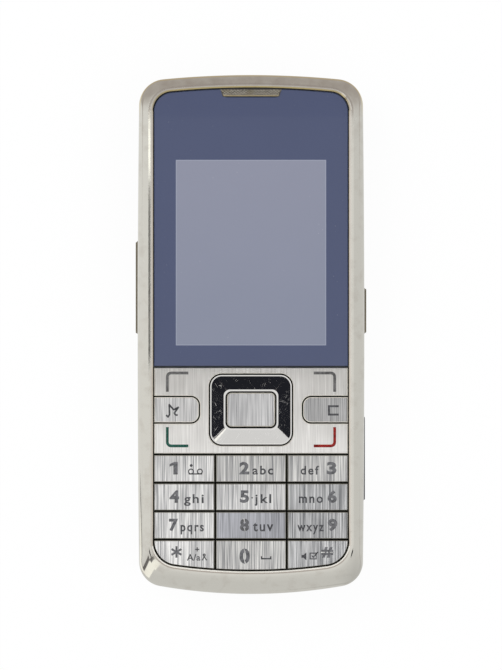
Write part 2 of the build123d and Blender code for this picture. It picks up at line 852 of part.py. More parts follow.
# ---------------------------------------------------------------- wing keys
def wing_face(side, height, inset=0.0):
    """Key beside the ring, with rounded corners at its inner end."""
    inner = side * (wing_inner_x + inset)
    outer = side * (opening_half_width - opening_gap - inset)
    with BuildSketch(Plane.XY.offset(height)) as face:
        with Locations(((inner + outer) / 2, nav_centre_y)):
            Rectangle(abs(outer - inner), wing_height - 2 * inset)
        inner_group = 0 if side > 0 else -1
        fillet(face.vertices().group_by(Axis.X)[inner_group], max(wing_corner - inset, least_radius))
    return face.sketch


for side, name in ((-1, "music_key"), (1, "clear_key")):
    with BuildPart() as wing_key:
        extrude(wing_face(side, key_bottom), amount=key_cap_thickness)
        chamfer(wing_key.faces().sort_by(Axis.Z)[-1].edges(), key_edge)
        extrude(wing_face(side, keymat_pad_top, carrier_step), amount=key_bottom - keymat_pad_top)
    write(wing_key, name)


# ---------------------------------------------------------------- plate with four soft keys
def plate_face(height, inset, ring_margin, wing_margin):
    """Plate across the opening, with a window for the ring and a notch for each wing key."""
    with BuildSketch(Plane.XY.offset(height)) as face:
        with Locations((0, (plate_top_y + plate_bottom_y) / 2)):
            Rectangle(
                2 * (opening_half_width - opening_gap - inset),
                plate_top_y - plate_bottom_y - 2 * inset,
            )
        with Locations((0, nav_centre_y)):
            RectangleRounded(
                ring_width + 2 * ring_margin,
                ring_height + 2 * ring_margin,
                ring_corner + ring_margin,
                mode=Mode.SUBTRACT,
            )
        for side in (-1, 1):
            notch_inner = wing_inner_x - wing_margin
            notch_length = 2 * bezel_side_width + wing_length
            with Locations((side * (notch_inner + notch_length / 2), nav_centre_y)):
                RectangleRounded(
                    notch_length,
                    wing_height + 2 * wing_margin,
                    wing_corner + wing_margin,
                    mode=Mode.SUBTRACT,
                )
    return face.sketch


carrier_margin = flange_overlap + carrier_gap
with BuildPart() as softkey_plate:
    extrude(plate_face(plate_bottom, 0, ring_gap, wing_gap), amount=plate_thickness)
    chamfer(softkey_plate.faces().sort_by(Axis.Z)[-1].edges(), key_edge)
    # Two ribs under the middle of the plate are the line on which it rocks left and right.
    for rib in (
        (plate_bottom_y + carrier_inset, nav_centre_y - ring_height / 2 - carrier_margin),
        (nav_centre_y + ring_height / 2 + carrier_margin, plate_top_y - carrier_inset),
    ):
        block(about(0, pivot_width), rib, (softkey_carrier_top + pivot_gap, plate_bottom))
write(softkey_plate, "softkey_plate")

with BuildPart() as softkey_carrier:
    extrude(
        plate_face(softkey_carrier_bottom, carrier_inset, carrier_margin, wing_gap + slip_gap),
        amount=softkey_carrier_thickness,
    )
write(softkey_carrier, "softkey_carrier")

# ---------------------------------------------------------------- four-way ring and select key
nav_centre = (0, nav_centre_y)
with BuildPart() as nav_ring:
    extrude(
        rounded(
            nav_centre,
            ring_width + 2 * flange_overlap,
            ring_height + 2 * flange_overlap,
            ring_corner + flange_overlap,
            flange_bottom,
        ),
        amount=flange_top - flange_bottom,
    )
    extrude(
        rounded(nav_centre, ring_width, ring_height, ring_corner, flange_top),
        amount=ring_edge_height - flange_top,
    )
    # A narrow land runs round the outer edge, then the face climbs to the inner rim.
    loft(
        [
            rounded(
                nav_centre,
                ring_width - 2 * ring_land_width,
                ring_height - 2 * ring_land_width,
                ring_corner - ring_land_width,
                ring_edge_height,
            ),
            rounded(
                nav_centre,
                ring_hole_width + 2 * ring_rim_width,
                ring_hole_height + 2 * ring_rim_width,
                select_corner + ring_rim_width,
                ring_rim_height,
            ),
        ],
        ruled=True,
    )
    extrude(
        rounded(
            nav_centre,
            ring_hole_width,
            ring_hole_height,
            select_corner + select_gap,
            flange_bottom,
        ),
        amount=ring_rim_height - flange_bottom,
        mode=Mode.SUBTRACT,
    )
    # Two ribs on the underside are the line on which it rocks left and right.
    for side in (-1, 1):
        rib_centre = nav_centre_y + side * (ring_hole_height + ring_height) / 4
        block(
            about(0, pivot_width),
            about(rib_centre, pivot_length),
            (nav_carrier_top + pivot_gap, flange_bottom),
        )
write(nav_ring, "nav_ring")

with BuildPart() as nav_carrier:
    extrude(
        cornered(nav_centre, ring_width, ring_height, ring_corner, nav_carrier_bottom),
        amount=carrier_thickness,
    )
    extrude(
        cornered(nav_centre, ring_hole_width, ring_hole_height, select_corner, nav_carrier_bottom),
        amount=carrier_thickness,
        mode=Mode.SUBTRACT,
    )
write(nav_carrier, "nav_carrier")


def select_face(level, inset):
    """Outline of the select key, stepped in by inset."""
    corner = max(select_corner - inset, least_radius)
    return rounded(nav_centre, select_width - 2 * inset, select_height - 2 * inset, corner, level)


select_pad_top = keymat_top + select_pad_height
with BuildPart() as select_key:
    extrude(select_face(key_bottom, 0), amount=select_top - key_bottom)
    chamfer(select_key.faces().sort_by(Axis.Z)[-1].edges(), select_edge)
    extrude(select_face(select_pad_top, select_step), amount=key_bottom - select_pad_top)
write(select_key, "select_key")

# ---------------------------------------------------------------- keymat and domes
nav_reach = ((ring_width + ring_hole_width) / 4, (ring_height + ring_hole_height) / 4)
nav_centres = [(side * nav_reach[0], nav_centre_y) for side in (-1, 1)]
nav_centres += [(0, nav_centre_y + side * nav_reach[1]) for side in (-1, 1)]
wing_centres = [(side * (wing_inner_x + wing_length / 2), nav_centre_y) for side in (-1, 1)]
softkey_places_y = [
    (plate_edge_y + nav_centre_y + side * wing_height / 2) / 2
    for plate_edge_y, side in ((plate_top_y, 1), (plate_bottom_y, -1))
]
softkey_centres = [(side * wing_centres[1][0], y) for side in (-1, 1) for y in softkey_places_y]
dome_centres = key_centres + nav_centres + wing_centres + softkey_centres + [nav_centre]
with BuildPart() as keymat:
    with BuildSketch(Plane.XY.offset(keymat_bottom)) as mat_face:
        add(opening_outline(0, -keymat_reach))
        with Locations((0, plate_top_y + half_length)):
            Rectangle(body_width, 2 * half_length, mode=Mode.SUBTRACT)
    extrude(amount=keymat_thickness)
    for number in range(len(key_names)):
        key_row, key_column = divmod(number, key_columns)
        extrude(key_face(key_row, key_column, keymat_top, pad_step), amount=keymat_pad_height)
    for side in (-1, 1):
        extrude(wing_face(side, keymat_top, pad_step), amount=keymat_pad_height)
    extrude(select_face(keymat_top, select_step + seal_gap), amount=select_pad_height)
    # Raised walls under the soft key plate's carrier.
    for x, y in softkey_centres:
        block(
            about(x, softkey_pad_size[0]),
            about(y, softkey_pad_size[1]),
            (keymat_top, softkey_carrier_bottom),
        )
    for place in dome_centres:
        post(place, (nub_radius, nub_radius), (nub_bottom, keymat_bottom))
    # Notches that clear the lower screw bosses.
    for place in screw_places:
        notch_radius = boss_radius + seal_gap
        post(place, (notch_radius, notch_radius), (keymat_bottom, keymat_top), mode=Mode.SUBTRACT)
write(keymat, "keymat")

with BuildPart() as dome_sheet:
    with BuildSketch(Plane.XY.offset(pcb_top)) as sheet_face:
        add(opening_outline(0, dome_sheet_inset))
        with Locations((0, plate_top_y - dome_sheet_inset + half_length)):
            Rectangle(body_width, 2 * half_length, mode=Mode.SUBTRACT)
    extrude(amount=dome_sheet_thickness)
    for place in dome_centres:
        post(place, (dome_radius, dome_radius / 2), (dome_base, dome_base + dome_height))
write(dome_sheet, "dome_sheet")

# ---------------------------------------------------------------- back shell
lip_inset = cover_thickness + slip_gap / 2
bay_inner = (battery_width + 2 * seal_gap, battery_length + 2 * seal_gap)
bay_outer = (bay_inner[0] + 2 * bay_wall, bay_inner[1] + 2 * bay_wall)
rail_notch_length = hook_length + 2 * slip_gap
space_width = about(0, cover_width + 2 * slip_gap)
with BuildPart() as lip_space:
    block(space_width, (cover_end_y, lip_end_y), (-wall, cover_lip_height + slip_gap))
    add(rear_form(lip_inset), mode=Mode.SUBTRACT)

with BuildPart() as end_wall:
    add(rear_form(lip_inset))
    add(rear_form(lip_inset + bay_wall), mode=Mode.SUBTRACT)
    block(
        about(0, body_width),
        (cover_end_y, lip_end_y),
        (bay_floor, rear_deck_bottom),
        mode=Mode.INTERSECT,
    )

motor_middle = (motor_centre_x, sum(motor_y) / 2, motor_axis_z)
usb_z = (pcb_bottom - usb_size[2], pcb_bottom)
port_z = about(port_cover_centre_z, port_cover_height)
port_outer_x = half_width + port_cover_reach
hinge_x = port_outer_x - knuckle_radius
hinge_y = port_cover_top_y - slip_gap / 2 - knuckle_radius
with BuildPart() as rear_housing:
    add(rear_form(0))
    add(rear_form(wall), mode=Mode.SUBTRACT)
    block(space_width, (lip_end_y, cover_top_y + slip_gap), (0, wall), mode=Mode.SUBTRACT)
    add(end_wall.part)
    # Deck behind the circuit board, walls of the battery bay and the ledge that carries the board.
    with BuildSketch(Plane.XY.offset(rear_deck_bottom)) as deck_face:
        add(body_outline(0, wall))
        with Locations((0, rear_deck_y + half_length)):
            Rectangle(body_width, 2 * half_length, mode=Mode.SUBTRACT)
    extrude(amount=rear_deck_thickness)
    extrude(
        body_outline(rear_deck_top, wall) - body_outline(rear_deck_top, wall + ledge_width),
        amount=pcb_bottom - seam_gap - rear_deck_top,
    )
    with BuildSketch(Plane.XY.offset(bay_floor)) as bay_walls:
        with Locations((0, battery_centre_y)):
            Rectangle(*bay_outer)
            Rectangle(*bay_inner, mode=Mode.SUBTRACT)
    extrude(amount=rear_deck_bottom - bay_floor)
    # A cross wall closes the battery side of the shell from the camera side.
    block(
        about(0, body_width - 2 * wall - 2 * shell_step),
        (rear_deck_y - bay_wall, rear_deck_y),
        (back_edge_radius, rear_deck_bottom),
    )
    block(about(0, bay_outer[0]), (rear_deck_y - bay_wall, rear_deck_y), (bay_floor, back_edge_radius))
    # Rails for the battery cover's hooks, with a notch for each hook.
    for side in (-1, 1):
        block(
            sorted((side * rail_inner_x, side * (half_width - shell_step - wall / 2))),
            (lip_end_y + rail_from_cover_ends[1], cover_top_y - rail_from_cover_ends[0]),
            (bay_floor, rail_top),
        )
        for place in hook_places:
            block(
                sorted((side * (rail_inner_x - wall), side * (hook_outer_x + slip_gap))),
                about(place - cover_stroke, rail_notch_length),
                (bay_floor, rail_top),
                mode=Mode.SUBTRACT,
            )
    # Screw bosses from the back to the circuit board.
    for place in screw_places:
        post(place, (rear_boss_radius, rear_boss_radius), (wall / 2, pcb_bottom - seam_gap))
    # Seat ring of the loudspeaker and cradle of the vibration motor.
    with BuildSketch(Plane.XY.offset(wall / 2)) as speaker_seat:
        with Locations(speaker_centre):
            Circle(speaker_radius + slip_gap + speaker_seat_wall)
            Circle(speaker_radius + slip_gap, mode=Mode.SUBTRACT)
    extrude(amount=speaker_seat_height)
    cradle_top = motor_axis_z + cradle_wall
    for y in (motor_y[0] + cradle_thickness, motor_y[1] - cradle_thickness):
        block(
            about(motor_centre_x, 2 * (motor_radius + cradle_wall)),
            about(y, cradle_thickness),
            (wall / 2, cradle_top),
        )
    with Locations(Location(motor_middle, (90, 0, 0))):
        Cylinder(motor_radius + seam_gap, motor_y[1] - motor_y[0], mode=Mode.SUBTRACT)
    block(
        about(motor_centre_x, 2 * (motor_radius - cradle_snap)),
        motor_y,
        (motor_axis_z, cradle_top),
        mode=Mode.SUBTRACT,
    )
    # The battery cover's space, and everything outside the shell's own form.
    block(space_width, (cover_end_y, cover_top_y + slip_gap), (-wall, bay_floor), mode=Mode.SUBTRACT)
    add(lip_space.part, mode=Mode.SUBTRACT)
    add(rear_form(0), mode=Mode.INTERSECT)
    # Screw holes with sunk heads.
    for place in screw_places:
        head_seat = wall if place[1] > cover_top_y else bay_floor + bottom_screw_rise
        post(place, (screw_hole_radius, screw_hole_radius), (0, parting_height), mode=Mode.SUBTRACT)
        post(place, (head_hole_radius, head_hole_radius), (0, head_seat), mode=Mode.SUBTRACT, sides=16)
    # Slot and pocket of each edge key.
    for side, centre_y, length in (
        (-1, rocker_centre_y, rocker_length),
        (1, side_key_centre_y, side_key_length),
    ):
        block(
            sorted((side * switch_face_x, side * (half_width + wall))),
            about(centre_y, length + 2 * slip_gap),
            about(edge_key_centre_z, edge_key_height + 2 * slip_gap),
            mode=Mode.SUBTRACT,
        )
        block(
            sorted((side * pocket_inner_x, side * (half_width - wall - shell_step))),
            about(centre_y, length + 2 * (edge_key_flange + edge_key_seat)),
            (edge_key_centre_z - edge_key_height / 2 - slip_gap - seam_gap, pcb_bottom),
            mode=Mode.SUBTRACT,
        )
    # Tongue of the deck that the volume rocker bears on.
    block(
        (-switch_face_x, -pocket_inner_x + seam_gap),
        about(rocker_centre_y, tongue_width),
        (rear_deck_bottom, rear_deck_top),
    )
    # Recess of the port cover, its hinge holes and the way to the socket.
    block(
        (port_outer_x - port_cover_thickness - slip_gap, half_width + wall),
        (port_low_y - slip_gap, port_cover_top_y + slip_gap),
        (port_z[0] - slip_gap, port_z[1] + slip_gap),
        mode=Mode.SUBTRACT,
    )
    with Locations((hinge_x, hinge_y, port_cover_centre_z)):
        Cylinder(
            hinge_pin_radius + seam_gap,
            port_cover_height + 2 * (hinge_pin_length + slip_gap),
            mode=Mode.SUBTRACT,
        )
    block(
        (usb_mouth_x - usb_size[0] - seal_gap, half_width),
        about(usb_y, usb_size[1] + 2 * slip_gap),
        (usb_z[0] - slip_gap, usb_z[1]),
        mode=Mode.SUBTRACT,
    )
    # Way through the deck and the bay's end wall for the battery contacts.
    block(
        about(contacts_centre_x, contacts_size[0] - 2 * contacts_shoulder),
        (contacts_centre_y, battery_bottom_y),
        (contacts_bottom, rear_deck_bottom - bay_wall),
        mode=Mode.SUBTRACT,
    )
    block(
        about(contacts_centre_x, contacts_size[0] + 2 * slip_gap),
        about(contacts_centre_y, contacts_size[1] + 2 * slip_gap),
        (rear_deck_bottom, rear_deck_top),
        mode=Mode.SUBTRACT,
    )
    # Sound port of the microphone, through the bottom end.
    block(
        about(microphone_centre_x, sound_port_size),
        (-half_length - wall, microphone_centre[1]),
        about(sound_port_height, sound_port_size),
        mode=Mode.SUBTRACT,
    )
    # Camera window seat and loudspeaker slots in the back.
    disc(camera_centre, camera_barrel_radius + slip_gap, (0, wall), mode=Mode.SUBTRACT)
    disc(camera_centre, camera_ring_radius + seam_gap, (0, camera_seat_depth), mode=Mode.SUBTRACT)
    with BuildSketch(Plane.XY) as speaker_slots:
        with Locations(speaker_centre):
            with GridLocations(0, speaker_slot_pitch, 1, speaker_slots_count):
                Rectangle(*speaker_slot)
        chamfer(speaker_slots.vertices(), speaker_slot[1] / 3)
    extrude(amount=wall, mode=Mode.SUBTRACT)
write(rear_housing, "rear_housing")

# ---------------------------------------------------------------- battery cover
with BuildPart() as cover_envelope:
    block(about(0, cover_width), (cover_end_y, cover_top_y), (-wall, cover_thickness))
    block(about(0, cover_width), (cover_end_y, lip_end_y), (-wall, cover_lip_height))

with BuildPart() as battery_cover:
    add(rear_form(0))
    add(rear_form(cover_thickness), mode=Mode.SUBTRACT)
    add(cover_envelope.part, mode=Mode.INTERSECT)
    # Hooks that reach over the back shell's rails.
    for side in (-1, 1):
        for place in hook_places:
            block(
                sorted((side * hook_inner_x, side * (hook_inner_x + hook_stem))),
                about(place, hook_length),
                (cover_thickness / 2, hook_top),
            )
            block(
                sorted((side * hook_inner_x, side * hook_outer_x)),
                about(place, hook_length),
                (hook_bottom, hook_top),
            )
    # Shallow grip ribs for the thumb.
    for step in range(grip_ribs):
        block(
            about(0, grip_size[0]),
            about(cover_top_y - grip_from_cover_top - grip_pitch * step, grip_size[1]),
            (0, grip_size[2]),
            mode=Mode.SUBTRACT,
        )
write(battery_cover, "battery_cover")

# ---------------------------------------------------------------- battery, contacts and SIM card
with BuildPart() as battery:
    block(
        about(0, battery_width),
        about(battery_centre_y, battery_length),
        (battery_bottom, battery_bottom + battery_thickness),
    )
    fillet(battery.edges().filter_by(Axis.Z), battery_corner)
    chamfer(battery.faces().sort_by(Axis.Z)[0].edges(), battery_edge)
write(battery, "battery")

with BuildPart() as battery_contacts:
    block(
        about(contacts_centre_x, contacts_size[0]),
        about(contacts_centre_y, contacts_size[1]),
        (contacts_bottom, pcb_bottom),
    )
    # Three sprung blades reach through the bay's end wall to the battery.
    for step in (-1, 0, 1):
        block(
            about(contacts_centre_x + blade_pitch * step, blade_width),
            (contacts_centre_y + contacts_size[1] / 2, battery_bottom_y - 2 * seam_gap),
            (contacts_bottom + contacts_shoulder, rear_deck_bottom - bay_wall - contacts_shoulder),
        )
write(battery_contacts, "battery_contacts")

sim_z = (rear_deck_bottom - sim_drop - sim_thickness, rear_deck_bottom - sim_drop)
sim_left_x = sim_centre_x - sim_length / 2
sim_right_x = sim_centre_x + sim_length / 2
with BuildPart() as sim_holder:
    block(
        (sim_left_x - sim_holder_margin, sim_right_x + sim_holder_margin),
        about(sim_centre_y, sim_width + 2 * sim_holder_margin),
        (sim_z[0] - sim_holder_sheet, rear_deck_bottom),
    )
    # Card space, open towards the left, and a window that leaves two side lips.
    block(
        (sim_left_x - sim_holder_margin, sim_right_x + sim_end_gap),
        about(sim_centre_y, sim_width + 2 * slip_gap),
        (sim_z[0] - seam_gap, sim_z[1] + seam_gap),
        mode=Mode.SUBTRACT,
    )
    block(
        (sim_left_x - sim_holder_margin, sim_right_x - sim_holder_lips[0]),
        about(sim_centre_y, sim_width - 2 * sim_holder_lips[1]),
        (sim_z[0] - sim_holder_sheet, sim_z[0]),
        mode=Mode.SUBTRACT,
    )
write(sim_holder, "sim_holder")

with BuildPart() as sim_card:
    block((sim_left_x, sim_right_x), about(sim_centre_y, sim_width), sim_z)
    card_corners = sim_card.edges().filter_by(Axis.Z).group_by(Axis.X)
    chamfer(card_corners[-1].sort_by(Axis.Y)[-1], sim_corner)
write(sim_card, "sim_card")

# ---------------------------------------------------------------- circuit board and what it carries
with BuildPart() as main_pcb:
    extrude(body_outline(pcb_bottom, pcb_margin), amount=pcb_thickness)
    for place in screw_places:
        post(place, (pcb_hole_radius, pcb_hole_radius), (pcb_bottom, pcb_top), mode=Mode.SUBTRACT)
write(main_pcb, "main_pcb")

can_side_x = half_width - shield_from_side
upper_cans_top_y = rear_deck_y - shield_from_deck_end
upper_cans_y = (upper_cans_top_y - shield_upper_length, upper_cans_top_y)
lower_can_top_y = contacts_centre_y - shield_from_contacts
lower_can_y = (-half_length + shield_from_bottom, lower_can_top_y)
with BuildPart() as shield_cans:
    for x_limits, y_limits in (
        ((-can_side_x, shield_split[0]), upper_cans_y),
        ((shield_split[1], can_side_x), upper_cans_y),
        ((-can_side_x, usb_mouth_x - usb_size[0] - shield_from_usb), lower_can_y),
    ):
        block(x_limits, y_limits, (pcb_bottom - shield_height, pcb_bottom))
        block(
            (x_limits[0] + shield_wall, x_limits[1] - shield_wall),
            (y_limits[0] + shield_wall, y_limits[1] - shield_wall),
            (pcb_bottom - shield_height + shield_wall, pcb_bottom),
            mode=Mode.SUBTRACT,
        )
write(shield_cans, "shield_cans")

switch_depth_x, switch_length, switch_drop = switch_size
button_depth, button_width, button_height = switch_button
with BuildPart() as side_switches:
    for side, y in (
        (-1, rocker_centre_y - switch_spread),
        (-1, rocker_centre_y + switch_spread),
        (1, side_key_centre_y),
    ):
        body_face_x = switch_face_x - button_depth
        block(
            sorted((side * body_face_x, side * (body_face_x - switch_depth_x))),
            about(y, switch_length),
            (edge_key_centre_z - switch_drop, pcb_bottom),
        )
        block(
            sorted((side * switch_face_x, side * body_face_x)),
            about(y, button_width),
            about(edge_key_centre_z, button_height),
        )
write(side_switches, "side_switches")

usb_back_x = usb_mouth_x - usb_size[0]
with BuildPart() as usb_connector:
    block((usb_back_x, usb_mouth_x), about(usb_y, usb_size[1]), usb_z)
    fillet(usb_connector.edges().filter_by(Axis.X).group_by(Axis.Z)[0], usb_corner)
    block(
        (usb_back_x + usb_back_wall, usb_mouth_x),
        about(usb_y, usb_size[1] - 2 * usb_wall),
        (usb_z[0] + usb_wall, usb_z[1] - usb_wall),
        mode=Mode.SUBTRACT,
    )
    block(
        (usb_back_x + usb_back_wall, usb_mouth_x - usb_tongue_drop),
        about(usb_y, usb_tongue[0]),
        about(sum(usb_z) / 2, usb_tongue[1]),
    )
write(usb_connector, "usb_connector")


# ---------------------------------------------------------------- edge keys and port cover
def edge_key(side, centre_y, length, nub_offsets):
    """Bar that stands out of the edge, held by a flange behind the wall, with a nub per switch."""
    outer = half_width + side_part_reach
    flange_x = half_width - wall - shell_step - edge_key_seat
    with BuildPart() as key:
        block(
            sorted((side * flange_x, side * outer)),
            about(centre_y, length),
            about(edge_key_centre_z, edge_key_height),
        )
        outer_group = -1 if side > 0 else 0
        fillet(key.faces().sort_by(Axis.X)[outer_group].edges(), edge_key_round)
        block(
            sorted((side * (flange_x - edge_key_flange_depth), side * flange_x)),
            about(centre_y, length + 2 * edge_key_flange),
            about(edge_key_centre_z, edge_key_height),
        )
        for nub_offset in nub_offsets:
            block(
                sorted((side * (switch_face_x + nub_clearance), side * flange_x)),
                about(centre_y + nub_offset, nub_width),
                about(edge_key_centre_z, nub_width),
            )
        # A bar that rocks has a ridge, which bears on the deck's tongue.
        if len(nub_offsets) > 1:
            block(
                sorted((side * rocker_pivot_x, side * flange_x)),
                about(centre_y, ridge_width),
                (rear_deck_bottom - ridge_overrun, rear_deck_top + ridge_overrun),
            )
    return key


volume_rocker = edge_key(-1, rocker_centre_y, rocker_length, (-switch_spread, switch_spread))
write(volume_rocker, "volume_rocker")
side_key = edge_key(1, side_key_centre_y, side_key_length, (0,))
write(side_key, "side_key")

port_inner_x = port_outer_x - port_cover_thickness
with BuildPart() as port_cover:
    block((port_inner_x, port_outer_x), (port_low_y, hinge_y), port_z)
    low_edges = port_cover.edges().filter_by(Axis.Z).group_by(Axis.Y)[0]
    fillet(low_edges.sort_by(Axis.X)[-1], port_cover_round)
    with Locations((hinge_x, hinge_y, port_cover_centre_z)):
        Cylinder(knuckle_radius, port_cover_height)
        Cylinder(hinge_pin_radius, port_cover_height + 2 * hinge_pin_length)
    # Shallow plug that centres the cover over the socket.
    block(
        (port_inner_x - port_plug_depth, port_inner_x),
        about(usb_y, usb_size[1] - 2 * port_plug_margin[0]),
        about(sum(usb_z) / 2, usb_size[2] - 2 * port_plug_margin[1]),
    )
write(port_cover, "port_cover")

# ---------------------------------------------------------------- camera
with BuildPart() as camera_ring:
    ring_z = (camera_ring_drop, camera_seat_depth)
    disc(camera_centre, camera_ring_radius, ring_z)
    disc(camera_centre, camera_window_radius + seam_gap, ring_z, mode=Mode.SUBTRACT)
    chamfer(camera_ring.faces().sort_by(Axis.Z)[0].edges(), camera_ring_bevel)
write(camera_ring, "camera_ring")

with BuildPart() as camera_window:
    disc(
        camera_centre,
        camera_window_radius,
        (camera_seat_depth - camera_window_thickness, camera_seat_depth),
    )
write(camera_window, "camera_window")

camera_base_z = (pcb_bottom - camera_base_height, pcb_bottom)
camera_body_z = (camera_base_z[0] - camera_body_height, camera_base_z[0])
barrel_bottom = camera_seat_depth + 2 * seam_gap
with BuildPart() as camera_module:
    disc(camera_centre, camera_barrel_radius, (barrel_bottom, camera_body_z[0]))
    block(about(camera_centre[0], camera_body), about(camera_centre[1], camera_body), camera_body_z)
    block(about(camera_centre[0], camera_base), about(camera_centre[1], camera_base), camera_base_z)
    with Locations((*camera_centre, barrel_bottom + camera_lens_cone[2] / 2)):
        Cone(*camera_lens_cone, mode=Mode.SUBTRACT)
write(camera_module, "camera_module")

# ---------------------------------------------------------------- loudspeaker, microphone and motor
speaker_top = wall + speaker_thickness
with BuildPart() as loudspeaker:
    disc(speaker_centre, speaker_radius, (wall, speaker_top))
    disc(speaker_centre, speaker_radius - speaker_rim, (wall, wall + speaker_recess), mode=Mode.SUBTRACT)
    # Two sprung contacts reach the circuit board.
    with Locations((*speaker_centre, (speaker_top + pcb_bottom) / 2)):
        with GridLocations(speaker_contact_pitch, 0, 2, 1):
            Box(*speaker_contact, pcb_bottom - speaker_top)
write(loudspeaker, "loudspeaker")

microphone_z = (rear_deck_top, pcb_bottom)
with BuildPart() as microphone_boot:
    boot_radius = microphone_radius + microphone_boot_wall
    post(microphone_centre, (boot_radius, boot_radius), microphone_z, sides=16)
    disc(microphone_centre, microphone_radius + seam_gap / 2, microphone_z, mode=Mode.SUBTRACT)
    block(
        about(microphone_centre_x, sound_port_size),
        (microphone_centre[1] - boot_radius, microphone_centre[1]),
        about(sound_port_height, sound_port_size),
        mode=Mode.SUBTRACT,
    )
write(microphone_boot, "microphone_boot")

with BuildPart() as microphone:
    disc(microphone_centre, microphone_radius, (microphone_z[0] + 2 * seam_gap, microphone_z[1]))
write(microphone, "microphone")

with BuildPart() as vibration_motor:
    with Locations(Location(motor_middle, (90, 0, 0))):
        Cylinder(motor_radius, motor_y[1] - motor_y[0])
    block(
        about(motor_centre_x, motor_foot[0]),
        (motor_y[0], motor_y[0] + motor_foot[1]),
        (motor_axis_z + motor_radius - motor_foot_sink, pcb_bottom),
    )
    with Locations(Location((motor_centre_x, (motor_y[1] + weight_y[1]) / 2, motor_axis_z), (90, 0, 0))):
        Cylinder(motor_shaft_radius, weight_y[1] - motor_y[1])
write(vibration_motor, "vibration_motor")

with BuildPart() as vibration_weight:
    with BuildSketch(Plane.XZ.offset(-weight_y[1])) as weight_face:
        with Locations((motor_centre_x, motor_axis_z)):
            Circle(weight_radius)
            with Locations((0, weight_radius)):
                Rectangle(2 * weight_radius, 2 * weight_radius, mode=Mode.SUBTRACT)
            Circle(motor_shaft_radius + weight_hub_wall)
            Circle(motor_shaft_radius + seam_gap / 2, mode=Mode.SUBTRACT)
    extrude(amount=weight_length)
write(vibration_weight, "vibration_weight")

# ---------------------------------------------------------------- antenna
antenna_z = (wall, wall + antenna_thickness)
antenna_low_y = antenna_centre_y - antenna_size[1] / 2
antenna_leg_x = antenna_leg_inset - antenna_size[0] / 2
with BuildPart() as antenna:
    block(about(0, antenna_size[0]), about(antenna_centre_y, antenna_size[1]), antenna_z)
    # Slots from either side fold the sheet into a meander, and one leg rises to the board.
    for step in (-2, -1, 0, 1):
        open_side = 1 if step % 2 else -1
        block(
            about((step + 0.5) * antenna_pitch, antenna_slot),
            about(antenna_centre_y + open_side * antenna_web / 2, antenna_size[1] - antenna_web),
            antenna_z,
            mode=Mode.SUBTRACT,
        )
    block(
        (antenna_leg_x, antenna_leg_x + antenna_leg_width),
        (antenna_low_y, antenna_low_y + antenna_thickness),
        (antenna_z[0], pcb_bottom),
    )
write(antenna, "antenna")

# ---------------------------------------------------------------- screws
recess_length, recess_width, recess_depth = screw_recess
with BuildPart() as housing_screws:
    for place in screw_places:
        head_seat = wall if place[1] > cover_top_y else bay_floor + bottom_screw_rise
        head_bottom = head_seat - screw_head_height
        post(place, (screw_head_radius, screw_head_radius), (head_bottom, head_seat), sides=16)
        post(place, (screw_shank_radius, screw_shank_radius), (head_seat, deck_bottom - screw_end_gap))
        with Locations((*place, head_bottom + recess_depth / 2)):
            Box(recess_length, recess_width, recess_depth, mode=Mode.SUBTRACT)
            Box(recess_width, recess_length, recess_depth, mode=Mode.SUBTRACT)
write(housing_screws, "housing_screws")
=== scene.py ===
"""Dresses a bar phone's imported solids: metal bezel, tinted window, brushed keypad and moulded shell.

The dataclasses hold sizes in millimetres, in the part's own frame: +Z out of the screen, +Y towards
the earpiece, +X to the right. Meshes are made in metres.
"""

import logging
import math
from dataclasses import asdict, dataclass, field, replace
from enum import Enum
from functools import reduce
from typing import Iterable, Sequence

import bmesh
import bpy
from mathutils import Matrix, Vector


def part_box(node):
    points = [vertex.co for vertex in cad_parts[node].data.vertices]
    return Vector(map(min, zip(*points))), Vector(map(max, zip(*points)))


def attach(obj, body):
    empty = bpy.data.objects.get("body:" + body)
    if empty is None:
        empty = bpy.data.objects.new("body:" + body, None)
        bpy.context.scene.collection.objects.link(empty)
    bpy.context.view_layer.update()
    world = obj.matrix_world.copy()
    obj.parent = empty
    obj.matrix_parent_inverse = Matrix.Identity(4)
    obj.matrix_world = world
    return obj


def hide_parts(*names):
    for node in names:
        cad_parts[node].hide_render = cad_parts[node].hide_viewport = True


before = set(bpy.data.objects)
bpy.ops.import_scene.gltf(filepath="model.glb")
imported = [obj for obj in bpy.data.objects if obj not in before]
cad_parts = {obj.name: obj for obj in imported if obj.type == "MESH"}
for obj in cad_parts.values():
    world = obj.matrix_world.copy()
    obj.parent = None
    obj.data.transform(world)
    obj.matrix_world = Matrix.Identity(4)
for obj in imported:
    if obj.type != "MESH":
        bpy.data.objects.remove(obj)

LOG = logging.getLogger("phone")
MM = 0.001
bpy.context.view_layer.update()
WHITE = (1.0, 1.0, 1.0)
Colour = tuple[float, float, float]
Point = tuple[float, float]
Place = tuple[float, float, float]
Shape = tuple[list[Sequence[float]], list[tuple[int, ...]]]
Node = bpy.types.Node
Socket = bpy.types.NodeSocket


def shaded(colour: Colour, factor: float, lift: float = 0.0) -> Colour:
    """Returns a colour made darker or paler, with no channel past full."""
    return tuple(min(1.0, channel * factor + lift) for channel in colour)


